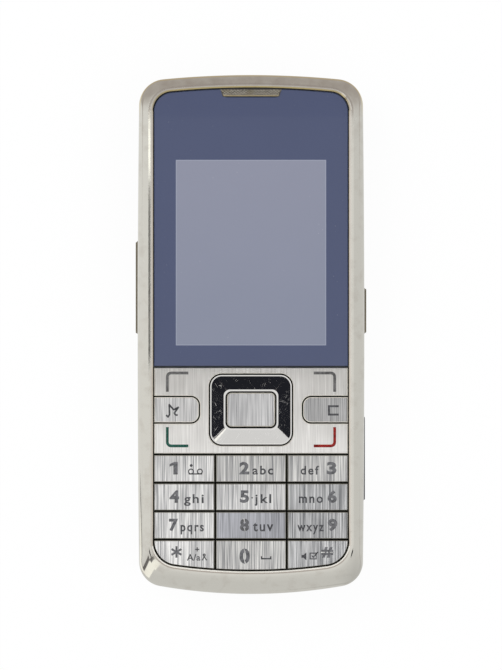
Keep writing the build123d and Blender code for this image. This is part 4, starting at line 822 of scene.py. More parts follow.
def rounded_path(corners: Sequence[Point], radius: float, steps: int = 6) -> list[Point]:
    """Rounds the inner corners of an open path.

    Args:
        corners: The path's points.
        radius: How far from each corner the curve starts.
        steps: Steps along each curve.

    Returns:
        The rounded path.
    """
    path = [corners[0]]
    for before, corner, after in zip(corners, corners[1:], corners[2:]):
        here = Vector(corner)
        start = here + (Vector(before) - here).normalized() * radius
        end = here + (Vector(after) - here).normalized() * radius
        for step in range(steps + 1):
            share = step / steps
            path.append(tuple(start.lerp(here, share).lerp(here.lerp(end, share), share)))
    return [*path, corners[-1]]


def circle_path(centre: Point, radius: float, steps: int = 20) -> list[Point]:
    """Returns the points of a circle."""
    turns = [math.tau * step / steps for step in range(steps)]
    return [(centre[0] + radius * math.cos(turn), centre[1] + radius * math.sin(turn)) for turn in turns]


def ribbon(path: Sequence[Point], width: float, low: float, high: float, closed: bool = False) -> Shape:
    """Lays a flat strip along a path.

    Args:
        path: Points in plan.
        width: Width of the strip.
        low: Height of its underside.
        high: Height of its top.
        closed: Whether the path is a loop.

    Returns:
        Points and faces.
    """
    count = len(path)
    sections = []
    for index, point in enumerate(path):
        before = path[index - 1] if closed or index else point
        after = path[(index + 1) % count] if closed or index < count - 1 else point
        first = Vector(point) - Vector(before)
        second = Vector(after) - Vector(point)
        first = (first if first.length else second).normalized()
        second = (second if second.length else first).normalized()
        along = (first + second).normalized()
        side = Vector((-along.y, along.x)) * width / 2 / max(0.5, along.dot(first))
        left, right = Vector(point) + side, Vector(point) - side
        sections.append([(*left, low), (*right, low), (*right, high), (*left, high)])
    return bridged(sections, closed)


@dataclass(frozen=True)
class Outline:
    """Shallow arcs that meet in rounded corners, as the phone's rim and opening are drawn."""

    end_steps = 14
    turn_steps = 16
    side_steps = 24

    half_width: float
    top: float
    bottom: float
    top_bow: float
    side_bow: float
    bottom_bow: float
    top_corner: float
    bottom_corner: float

    def towards(self, other: "Outline", share: float) -> "Outline":
        """Moves the outline towards another one.

        Args:
            other: The other outline, whose sides are straight.
            share: How much of the way.

        Returns:
            The outline in between.
        """
        sizes = {name: size + (getattr(other, name) - size) * share for name, size in asdict(self).items()}
        sizes["side_bow"] = self.side_bow / max(1 - share, 1e-3)
        return Outline(**sizes)

    def stepped(self, inset: float) -> "Outline":
        """Returns the outline moved in by an inset."""
        sizes = {name: size - inset for name, size in asdict(self).items()}
        return Outline(**{**sizes, "bottom": self.bottom + inset})

    def corner(self, end: int, bow: float, corner: float) -> tuple[Vector, Vector, Vector, Vector]:
        """Finds a right-hand corner's arc.

        Args:
            end: 1 for the top end, -1 for the bottom end.
            bow: Radius of that end's arc.
            corner: Radius of the corner.

        Returns:
            The end arc's centre, the corner's centre, and the points where the corner meets the end
            arc and the side.
        """
        tip = self.top if end > 0 else self.bottom
        bow_centre = Vector((0.0, tip - end * bow))
        side_centre = Vector((self.half_width - self.side_bow, 0.0))
        reach, side_reach = bow - corner, self.side_bow - corner
        apart = side_centre - bow_centre
        along = (reach**2 - side_reach**2 + apart.length_squared) / (2 * apart.length)
        across = math.sqrt(reach**2 - along**2)
        unit = apart.normalized()
        sideways = Vector((-unit.y, unit.x))
        found = [bow_centre + unit * along + sideways * across * sign for sign in (-1, 1)]
        centre = max(found, key=lambda point: (point.x > 0, end * point.y))
        on_bow = bow_centre + (centre - bow_centre).normalized() * bow
        on_side = side_centre + (centre - side_centre).normalized() * self.side_bow
        return bow_centre, centre, on_bow, on_side

    def loop(self, height: float) -> list[Place]:
        """Draws the outline.

        Args:
            height: The height that it lies at.

        Returns:
            Its points, clockwise from the middle of the top.
        """
        half: list[Vector] = []

        def arc(centre: Vector, start: Vector, end: Vector, steps: int) -> None:
            """Adds the points of one arc, without its last."""
            first = math.atan2(*(start - centre).yx)
            turn = math.remainder(math.atan2(*(end - centre).yx) - first, math.tau)
            radius = (start - centre).length
            for step in range(steps):
                angle = first + turn * step / steps
                half.append(centre + Vector((math.cos(angle), math.sin(angle))) * radius)

        top_centre, top_corner, top_joint, side_top = self.corner(1, self.top_bow, self.top_corner)
        low_centre, low_corner, low_joint, side_low = self.corner(-1, self.bottom_bow, self.bottom_corner)
        arc(top_centre, Vector((0.0, self.top)), top_joint, self.end_steps)
        arc(top_corner, top_joint, side_top, self.turn_steps)
        arc(Vector((self.half_width - self.side_bow, 0.0)), side_top, side_low, self.side_steps)
        arc(low_corner, side_low, low_joint, self.turn_steps)
        arc(low_centre, low_joint, Vector((0.0, self.bottom)), self.end_steps)
        right = [(point.x, point.y, height) for point in half]
        return [*right, (0.0, self.bottom, height), *[(-x, y, z) for x, y, z in reversed(right[1:])]]


# ------------------------------------------------------------------------------ bezel
@dataclass
class Bezel:
    """Polished ring round the display and the keypad, with a bright lip beside the opening; below the keypad
    the lip's inner face is painted pale cream as a highlight.
    """

    rim: Outline = Outline(23.6, 54.0, -54.0, 190.0, 4000.0, 110.0, 5.6, 5.2)
    opening: Outline = Outline(20.35, 51.2, -49.1, 175.0, 1e6, 117.0, 4.15, 5.15)
    seam: float = 8.25
    shoulder: float = 10.6
    crest: float = 13.2
    deck: float = 11.5
    wall: float = 1.2
    lip_width: float = 0.5
    lip_drop: float = 0.4
    inner_lip: float = 0.27
    land_width: float = 0.42
    roll_steps: int = 26
    roll_fullness: float = 1.2
    roll_turn: float = 74.0
    soft_edge: float = 0.03
    smooth_below: float = 11.0
    # below this Y the lip's inner face takes the painted highlight
    lip_highlight_from: float = -44.0

    def rolled_face(self) -> list[Point]:
        """Returns the rolled face's points, as shares of its width and heights."""
        last = math.radians(self.roll_turn)
        width = 1 - math.cos(last)
        rise = (self.crest - self.shoulder) / math.sin(last) ** self.roll_fullness
        turns = [last * step / self.roll_steps for step in range(self.roll_steps + 1)]
        heights = [self.shoulder + rise * math.sin(turn) ** self.roll_fullness for turn in turns]
        return [((1 - math.cos(turn)) / width, height) for turn, height in zip(turns, heights)]

    def build(self) -> bpy.types.Object:
        """Builds the ring as one closed surface. Returns it."""
        lip = self.opening.stepped(-self.lip_width)
        land = lip.stepped(-self.land_width)
        back = self.rim.stepped(self.wall)
        edge = self.soft_edge
        foot = self.crest - self.lip_drop
        inner_level = self.crest - self.lip_drop * (1 - self.inner_lip / self.lip_width)
        rings = [self.rim.stepped(edge).loop(self.seam), self.rim.loop(self.seam + edge)]
        rings += [self.rim.towards(land, share).loop(height) for share, height in self.rolled_face()]
        first_lip_row = len(rings) + 1
        rings += [
            lip.stepped(-edge).loop(self.crest),
            lip.loop(self.crest - edge / 2),
            self.opening.stepped(-self.inner_lip).loop(inner_level),
            self.opening.stepped(-edge).loop(foot + edge / 2),
            self.opening.loop(foot - edge),
            self.opening.loop(self.deck),
            back.loop(self.deck),
            back.loop(self.seam),
        ]
        made = piece("bezel_ring", *bridged(rings, closed=True), Palette.bezel, self.smooth_below)
        for finish in (Palette.lip, Palette.inner_lip, Palette.lip_painted_highlight):
            made.data.materials.append(finish.material())
        around = len(rings[0])
        for face in made.data.polygons:
            row = face.index // around - first_lip_row
            if row == 0:
                face.material_index = 1
            elif row in (1, 2):
                # below lip_highlight_from the inner lip takes the painted highlight
                face.material_index = 3 if face.center.y < self.lip_highlight_from * MM else 2
        return made

    def dress(self) -> None:
        """Puts the ring in place of its plain solid."""
        made = self.build()
        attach(made, "chassis")
        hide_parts("front_bezel")
        LOG.info("bezel: %d faces", len(made.data.polygons))


# ------------------------------------------------------------------------------ earpiece
@dataclass
class EarpieceWeave:
    """Woven wire over the window's notch, with a brass sill, on black felt."""

    bottom_width: float = 10.6
    margin: float = 0.1
    widen: float = 0.62
    backing: float = 0.02
    frame_width: float = 0.18
    wire_width: float = 0.2
    wire_crown: float = 0.6
    wire_thickness: float = 0.05
    pitch: float = 0.42
    slant: float = math.radians(38.0)
    step: float = 0.09
    wave: float = 0.045

    def __post_init__(self) -> None:
        """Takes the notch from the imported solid's box."""
        low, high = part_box("earpiece_mesh")
        self.low, self.high = Vector(low) / MM, Vector(high) / MM
        self.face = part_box("display_window")[1][2] / MM
        self.wire_level = self.face + 2 * self.backing + self.wave

    def outline(self, inset: float, widen: float = 0.0) -> list[Point]:
        """Returns the notch's corners, moved in by an inset and its sides out by another length."""
        top, bottom = self.high.y - inset, self.low.y + inset
        half_top, half_bottom = self.high.x - inset + widen, self.bottom_width / 2 - inset + widen
        return [(-half_bottom, bottom), (half_bottom, bottom), (half_top, top), (-half_top, top)]

    def frame_line(self) -> list[Point]:
        """Returns the corners of the line along the middle of the frame."""
        return self.outline(self.margin + self.frame_width / 2, self.widen)

    def crossing(self, start: Vector, along: Vector) -> tuple[float, float] | None:
        """Finds where a line runs inside the frame.

        Args:
            start: A point on the line.
            along: Its unit direction.

        Returns:
            Distances from start to where it enters and leaves, or None where it misses.
        """
        corners = [Vector(corner) for corner in self.frame_line()]
        enter, leave = -math.inf, math.inf
        for corner, following in zip(corners, [*corners[1:], corners[0]]):
            side = following - corner
            inward = Vector((-side.y, side.x))
            speed, depth = along.dot(inward), (start - corner).dot(inward)
            if speed > 0:
                enter = max(enter, -depth / speed)
            else:
                leave = min(leave, -depth / speed)
        return (enter, leave) if leave - enter > self.pitch else None

    def wire(self, offset: float, turn: int) -> Shape:
        """Builds one wavy wire.

        Args:
            offset: How far the wire lies from the middle, across its own direction.
            turn: 1 or -1, for the two directions of the weave.

        Returns:
            Points and faces, both empty where the wire misses the notch.
        """
        along = Vector((math.cos(self.slant), turn * math.sin(self.slant)))
        across = Vector((-along.y, along.x))
        start = Vector((0.0, (self.low.y + self.high.y) / 2)) + across * offset
        found = self.crossing(start, along)
        if found is None:
            return [], []
        enter, leave = found
        count = max(2, int((leave - enter) / self.step))
        side = across * self.wire_width / 2
        sections = []
        for index in range(count + 1):
            reach = enter + (leave - enter) * index / count
            middle = start + along * reach
            swing = math.sin(math.pi * (reach + turn * offset) / self.pitch)
            level = self.wire_level + turn * self.wave * swing
            left, right = middle + side, middle - side
            crown = level + self.wire_thickness
            tops = [(*middle.lerp(foot, self.wire_crown), crown) for foot in (right, left)]
            sections.append([(*left, level), (*right, level), *tops])
        return bridged(sections)

    def dress(self) -> None:
        """Puts the weave, its brass sill and the felt in place of the plain mesh."""
        rows = int((self.high.x - self.low.x) / self.pitch)
        wires = [self.wire(row * self.pitch, turn) for turn in (-1, 1) for row in range(-rows, rows + 1)]
        weave = piece("earpiece_weave", *merged(wires), Palette.weave)
        level = self.wire_level - self.wave
        crown = level + 2 * self.wave + self.wire_thickness
        sill = ribbon(self.frame_line()[:2], self.frame_width, level, crown)
        brass = piece("earpiece_sill", *sill, Palette.weave_frame)
        notch, cover = self.outline(0.0), self.outline(self.margin / 2, self.widen)
        middle = self.face + self.backing / 2
        levels = ((notch, self.low.z), (notch, middle), (cover, middle), (cover, self.face + self.backing))
        rings = [[(*corner, height) for corner in path] for path, height in levels]
        felt = piece("earpiece_felt", *bridged(rings), Palette.felt)
        for part in (weave, brass, felt):
            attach(part, "chassis")
        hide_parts("earpiece_mesh")
        LOG.info("earpiece weave: %d faces", len(weave.data.polygons))


# ------------------------------------------------------------------------------ side keys
@dataclass
class SideCap:
    """Raised champagne cap on a key in the phone's side."""

    node: str
    side: int
    rise: float = 0.26
    sunk: float = 0.15
    margin: float = 0.3
    flange: float = 0.5
    chamfer: float = 0.1
    corner: float = 0.45
    corner_steps: int = 5
    straight: float = 0.05
    smooth_below: float = 30.0

    def loop(self, low: Vector, high: Vector, inset: float, out: float) -> list[Place]:
        """Draws a rounded rectangle at one distance out from the phone's middle.

        Args:
            low: The key's lower corner.
            high: The key's upper corner.
            inset: How far inside the key's edges it lies.
            out: The distance.

        Returns:
            Its points.
        """
        radius = min(self.corner, (high.z - low.z) / 2 - inset - self.straight)
        bottom, top = low.z + inset + radius, high.z - inset - radius
        near, far = low.y + self.flange + inset + radius, high.y - self.flange - inset - radius
        points = []
        for y, z, first in ((far, top, 0.0), (near, top, 90.0), (near, bottom, 180.0), (far, bottom, 270.0)):
            for step in range(self.corner_steps + 1):
                turn = math.radians(first + 90.0 * step / self.corner_steps)
                points.append((out, y + radius * math.cos(turn), z + radius * math.sin(turn)))
        return points

    def dress(self) -> None:
        """Builds the cap on its key."""
        low, high = (Vector(corner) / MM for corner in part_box(self.node))
        face = high.x if self.side > 0 else low.x
        levels = (
            (self.margin, -self.sunk),
            (self.margin, self.rise - self.chamfer),
            (self.margin + self.chamfer, self.rise),
        )
        rings = [self.loop(low, high, inset, face + out * self.side) for inset, out in levels]
        cap = piece(f"{self.node}_cap", *bridged(rings), Palette.gold_trim, self.smooth_below)
        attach(cap, self.node)
        LOG.info("%s cap: %d faces", self.node, len(cap.data.polygons))


# ------------------------------------------------------------------------------ keypad legends
@dataclass(frozen=True)
class Word:
    """Letters or a digit, fitted to a box on a key."""

    text: str
    left: float
    right: float
    low: float
    high: float
    weight: float = 0.0
    spacing: float = 1.0

    def within(self, *shares: Point) -> list[Point]:
        """Returns points that are given as shares of the box."""
        width, height = self.right - self.left, self.high - self.low
        return [(self.left + x * width, self.low + y * height) for x, y in shares]


@dataclass
class Legends:
    """Filled legends on the keys, the wing keys and the soft key plate."""

    key_top: float = 12.5
    sunk: float = 0.01
    raise_by: float = 0.02
    keypad_top: float = -24.86
    pitch: float = 5.89
    digit_height: float = 2.6
    digit_low: float = 4.16
    letter_low: float = 4.2
    letter_height: float = 1.85
    small_letters: float = 0.74
    descent: float = 0.6
    letter_spacing: float = 1.25
    mark_width: float = 0.58
    mark_corner: float = 0.9
    mark_reach: float = 3.9
    icon_width: float = 0.36
    voicemail_width: float = 0.24
    space_width: float = 0.3
    bracket_width: float = 0.42
    sign_width: float = 0.22
    slit_width: float = 0.2
    bold: float = 0.045
    letter_bold: float = 0.022
    digits: dict[str, Point] = field(default_factory=lambda: {
        "2": (-2.4, -0.35), "3": (15.7, 17.7),
        "4": (-16.9, -14.9), "5": (-2.3, -0.4), "6": (15.9, 17.8),
        "7": (-17.0, -15.1), "8": (-2.3, -0.4), "9": (15.9, 17.9),
    })
    letters: dict[str, tuple[str, float, float]] = field(default_factory=lambda: {
        "2": ("abc", 0.3, 4.6), "3": ("def", 10.3, 14.1),
        "4": ("ghi", -13.9, -9.8), "5": ("jkl", 0.7, 4.2), "6": ("mno", 9.9, 14.9),
        "7": ("pqrs", -14.6, -9.8), "8": ("tuv", 0.4, 4.6), "9": ("wxyz", 9.6, 15.1),
    })

    def row_top(self, row: int) -> float:
        """Returns the upper edge of a row of keys."""
        return self.keypad_top - row * self.pitch

    def write(self, name: str, node: str, word: Word, finish: Finish = Palette.ink) -> None:
        """Writes a word on a key and lets it ride there.

        Args:
            name: The piece's name.
            node: The key's body.
            word: The letters and their box.
            finish: Their ink.
        """
        curve = bpy.data.curves.new(name, "FONT")
        curve.body = word.text
        curve.offset = word.weight
        curve.space_character = word.spacing
        curve.extrude = self.raise_by
        curve.resolution_u = 4
        holder = linked(name, curve)
        bpy.context.view_layer.update()
        mesh = bpy.data.meshes.new_from_object(holder)
        bpy.data.objects.remove(holder)
        low = Vector([min(vertex.co[axis] for vertex in mesh.vertices) for axis in range(3)])
        high = Vector([max(vertex.co[axis] for vertex in mesh.vertices) for axis in range(3)])
        target_low = Vector((word.left, word.low, self.key_top - self.sunk))
        target_high = Vector((word.right, word.high, self.key_top + self.raise_by))
        for vertex in mesh.vertices:
            share = Vector([(vertex.co[axis] - low[axis]) / (high[axis] - low[axis]) for axis in range(3)])
            vertex.co = (target_low + share * (target_high - target_low)) * MM
        mesh.materials.clear()
        mesh.materials.append(finish.material())
        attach(linked(name, mesh), node)

    def stroke(self, name: str, node: str, paths: Sequence[tuple[Sequence[Point], bool]], width: float,
               finish: Finish = Palette.ink, lift: float = 0.0) -> None:
        """Draws strips along paths on a key and lets them ride there.

        Args:
            name: The piece's name.
            node: The key's body.
            paths: Each path and whether it is a loop.
            width: Width of the strips.
            finish: Their ink.
            lift: How much higher than other legends they lie.
        """
        low, high = self.key_top - self.sunk + lift, self.key_top + self.raise_by + lift
        strips = merged(ribbon(path, width, low, high, closed) for path, closed in paths)
        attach(piece(name, *strips, finish), node)

    def patch(self, name: str, node: str, shapes: Sequence[Sequence[Point]],
              finish: Finish = Palette.ink) -> None:
        """Draws filled shapes on a key and lets them ride there.

        Args:
            name: The piece's name.
            node: The key's body.
            shapes: The outline of each shape.
            finish: Their ink.
        """
        heights = (self.key_top - self.sunk, self.key_top + self.raise_by)
        rings = ([[(*corner, height) for corner in shape] for height in heights] for shape in shapes)
        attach(piece(name, *merged(bridged(pair) for pair in rings), finish), node)

    def slits(self, key: str, word: Word, places: Sequence[tuple[Point, Point]]) -> None:
        """Cuts a stencil digit with strips of bare metal.

        Args:
            key: The key's name after key_.
            word: The digit's box.
            places: Each strip's start and end, as shares of the box.
        """
        paths = [(word.within(*ends), False) for ends in places]
        self.stroke(f"slits_{key}", f"key_{key}", paths, self.slit_width, Palette.keys, self.raise_by)

    def key_words(self) -> None:
        """Writes the digits and letters of keys 2 to 9."""
        for key, (left, right) in self.digits.items():
            low = self.row_top((int(key) - 1) // 3) - self.digit_low
            word = Word(key, left, right, low, low + self.digit_height, self.bold)
            self.write(f"digit_{key}", f"key_{key}", word, Palette.digit_ink)
            if key == "8":
                self.slits(key, word, [((0.42, 1.05), (0.52, 0.72)), ((0.48, 0.30), (0.58, -0.05))])
        for key, (text, left, right) in self.letters.items():
            low = self.row_top((int(key) - 1) // 3) - self.letter_low
            below = self.descent if set(text) & set("gjpqy") else 0.0
            high = low + self.letter_height * (1.0 if set(text) & set("bdfhklt") else self.small_letters)
            word = Word(text, left, right, low - below, high, self.letter_bold, self.letter_spacing)
            self.write(f"letters_{key}", f"key_{key}", word)

    def first_key(self) -> None:
        """Draws the digit 1, with its flag and no foot, the voicemail sign beside it, and key 5's dot."""
        row = self.row_top(0)
        low = row - self.digit_low
        one = Word("1", -16.9, -15.2, low, low + self.digit_height)
        flag = ((0.46, 0.0), (1.0, 0.0), (1.0, 1.0), (0.56, 1.0), (0.0, 0.82), (0.0, 0.62), (0.46, 0.73))
        self.patch("digit_1", "key_1", [one.within(*flag)], Palette.digit_ink)
        first, second, level, radius = -12.45, -10.6, row - 3.55, 0.5
        self.stroke("sign_voicemail", "key_1", [
            (circle_path((first, level), radius), True),
            (circle_path((second, level), radius), True),
            ([(first - radius, level - radius), (second + radius, level - radius)], False),
        ], self.voicemail_width)
        self.patch("sign_voicemail_dot", "key_1", [circle_path((first + 0.05, level + 1.25), 0.3, 14)])
        self.patch("sign_dot_5", "key_5", [circle_path((0.22, self.row_top(1) - 3.1), 0.17, 12)])

    def star(self, centre: Vector, arm: float, half: float) -> list[Point]:
        """Draws a star of six straight arms.

        Args:
            centre: Its middle.
            arm: Length of the arms.
            half: Half their width.

        Returns:
            Its points.
        """
        points = []
        for step in range(6):
            turn = math.pi / 6 + math.pi / 3 * step
            along = Vector((math.cos(turn), math.sin(turn)))
            aside = Vector((-along.y, along.x)) * half
            notch = Vector((math.cos(turn + math.pi / 6), math.sin(turn + math.pi / 6))) * 2 * half
            tip = centre + along * arm
            points += [tuple(tip - aside), tuple(tip + aside), tuple(centre + notch)]
        return points

    def star_and_zero(self, last: float) -> None:
        """Draws the zero with its space sign, and the star with its small signs.

        Args:
            last: Upper edge of the last row of keys.
        """
        zero = Word("0", -2.4, -0.25, last - 5.0, last - 1.85, self.bold)
        self.write("digit_0", "key_0", zero, Palette.digit_ink)
        self.slits("0", zero, [((0.40, 1.05), (0.56, 0.74)), ((0.46, 0.24), (0.62, -0.05))])
        space = [(2.2, last - 3.45), (2.2, last - 3.95), (4.1, last - 3.95), (4.1, last - 3.45)]
        self.stroke("sign_space", "key_0", [(space, False)], self.space_width)
        star = self.star(Vector((-15.45, last - 2.55)), 1.2, 0.22)
        self.patch("sign_star", "key_star", [star], Palette.digit_ink)
        self.write("sign_plus", "key_star", Word("+", -11.6, -10.7, last - 2.45, last - 1.6, 0.03))
        self.write("sign_case", "key_star", Word("A/a", -13.3, -10.5, last - 4.35, last - 3.0, 0.02, 1.05))
        self.stroke("sign_figure", "key_star", [
            (circle_path((-9.7, last - 3.2), 0.2, 10), True),
            ([(-10.1, last - 4.3), (-9.7, last - 3.5), (-9.2, last - 4.3)], False),
        ], self.sign_width)

    def hash_icons(self, last: float) -> None:
        """Draws the hash, the sound cone and the ticked box.

        Args:
            last: Upper edge of the last row of keys.
        """
        hash_word = Word("#", 14.6, 17.05, last - 3.75, last - 1.55, self.bold)
        self.write("sign_hash", "key_hash", hash_word, Palette.digit_ink)
        self.slits("hash", hash_word, [((-0.05, 0.5), (0.30, 0.5)), ((0.70, 0.5), (1.05, 0.5))])
        cone = ((0.0, 0.32), (0.4, 0.32), (1.0, 0.0), (1.0, 1.0), (0.4, 0.68), (0.0, 0.68))
        sound = Word("", 10.45, 11.5, last - 4.3, last - 2.65)
        self.patch("sign_sound", "key_hash", [sound.within(*cone)])
        box_low, box_high = last - 4.0, last - 2.8
        self.stroke("sign_tick_box", "key_hash", [
            ([(12.25, box_low), (13.5, box_low), (13.5, box_high), (12.25, box_high)], True),
            ([(12.6, last - 3.3), (12.9, last - 3.7), (13.9, last - 2.55)], False),
        ], self.sign_width)

    def wing_icons(self) -> None:
        """Draws a pair of joined notes on the left wing key and a bracket on the right one."""
        beam = [
            (-17.6, -16.7), (-17.2, -17.1), (-16.9, -16.6), (-16.95, -14.55), (-16.05, -15.6),
            (-14.95, -15.05),
        ]
        stem = [(-15.1, -15.15), (-15.9, -16.3), (-15.6, -16.7), (-15.2, -16.7)]
        notes = [(rounded_path(path, 0.1, 2), False) for path in (beam, stem)]
        self.stroke("sign_notes", "music_key", notes, self.icon_width)
        bracket = [(18.2, -14.87), (16.15, -14.87), (16.15, -16.6), (18.2, -16.6)]
        self.stroke("sign_clear", "clear_key", [(bracket, False)], self.bracket_width)

    def corner_marks(self) -> None:
        """Draws the four corner marks of the soft keys, two grey, one green and one red."""
        inner, outer, high, low = 13.0, 17.35, -7.98, -23.1
        for name, side, level, up, finish in (
            ("mark_left_soft", -1, high, -1, Palette.mark_grey),
            ("mark_right_soft", 1, high, -1, Palette.mark_grey),
            ("mark_call", -1, low, 1, Palette.mark_green),
            ("mark_end", 1, low, 1, Palette.mark_red),
        ):
            end = level + up * self.mark_reach
            corners = [(side * inner, level), (side * outer, level), (side * outer, end)]
            path = rounded_path(corners, self.mark_corner)
            self.stroke(name, "softkey_plate", [(path, False)], self.mark_width, finish)

    def dress(self) -> None:
        """Writes every legend."""
        self.key_words()
        self.first_key()
        self.star_and_zero(self.row_top(3))
        self.hash_icons(self.row_top(3))
        self.wing_icons()
        self.corner_marks()
        LOG.info("legends written")


# ------------------------------------------------------------------------------ carried-over solids
@dataclass
class Solids:
    """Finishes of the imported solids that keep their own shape."""

    # keys that take the painted lit copy, the painted shade copy, or the plain finish
    bright_keys: tuple[str, ...] = ("key_1", "key_4", "key_5", "key_7", "key_star")
    plain_keys: tuple[str, ...] = ("key_2", "key_3", "key_0")
    dim_keys: tuple[str, ...] = ("key_6", "key_9", "key_hash")
    inner: tuple[str, ...] = (
        "front_frame", "nav_carrier", "softkey_carrier", "lcd_connector", "battery_contacts",
        "side_switches", "camera_module", "loudspeaker",
    )
    sheet: tuple[str, ...] = (
        "lcd_frame", "shield_cans", "usb_connector", "sim_holder", "dome_sheet", "vibration_motor",
        "earpiece_speaker", "microphone", "housing_screws", "vibration_weight",
    )

    def finishes(self) -> dict[str, Finish]:
        """Returns the finish of each solid."""
        groups = (
            (self.bright_keys, Palette.bright_keys), (self.plain_keys, Palette.keys),
            (self.dim_keys, Palette.dim_keys), (("key_8",), Palette.blue_keys),
            (self.inner, Palette.inner), (self.sheet, Palette.steel),
        )
        table = {node: finish for nodes, finish in groups for node in nodes}
        table |= {
            "front_bezel": Palette.bezel, "softkey_plate": Palette.plate, "nav_ring": Palette.ring,
            "display_window": Palette.window, "earpiece_mesh": Palette.weave, "select_key": Palette.calm_keys,
            "music_key": Palette.calm_bright_keys, "clear_key": Palette.calm_dim_keys,
            "side_key": Palette.gold_trim, "volume_rocker": Palette.gold_trim,
            "rear_housing": Palette.shell, "battery_cover": Palette.shell, "port_cover": Palette.port_cover,
            "keymat": Palette.gap_black, "microphone_boot": Palette.gap_black,
            "lcd_gasket": Palette.foam, "earpiece_gasket": Palette.foam,
            "lcd_panel": Palette.panel, "lcd_backlight": Palette.light_guide, "main_pcb": Palette.board,
            "lcd_flex": Palette.film, "battery": Palette.battery, "sim_card": Palette.sim,
            "camera_ring": Palette.camera_trim, "camera_window": Palette.lens, "antenna": Palette.copper,
        }
        return table

    def dress(self) -> None:
        """Gives each solid its finish."""
        table = self.finishes()
        for name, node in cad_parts.items():
            node.data.materials.clear()
            node.data.materials.append(table[name].material())
        LOG.info("solids dressed: %d", len(table))


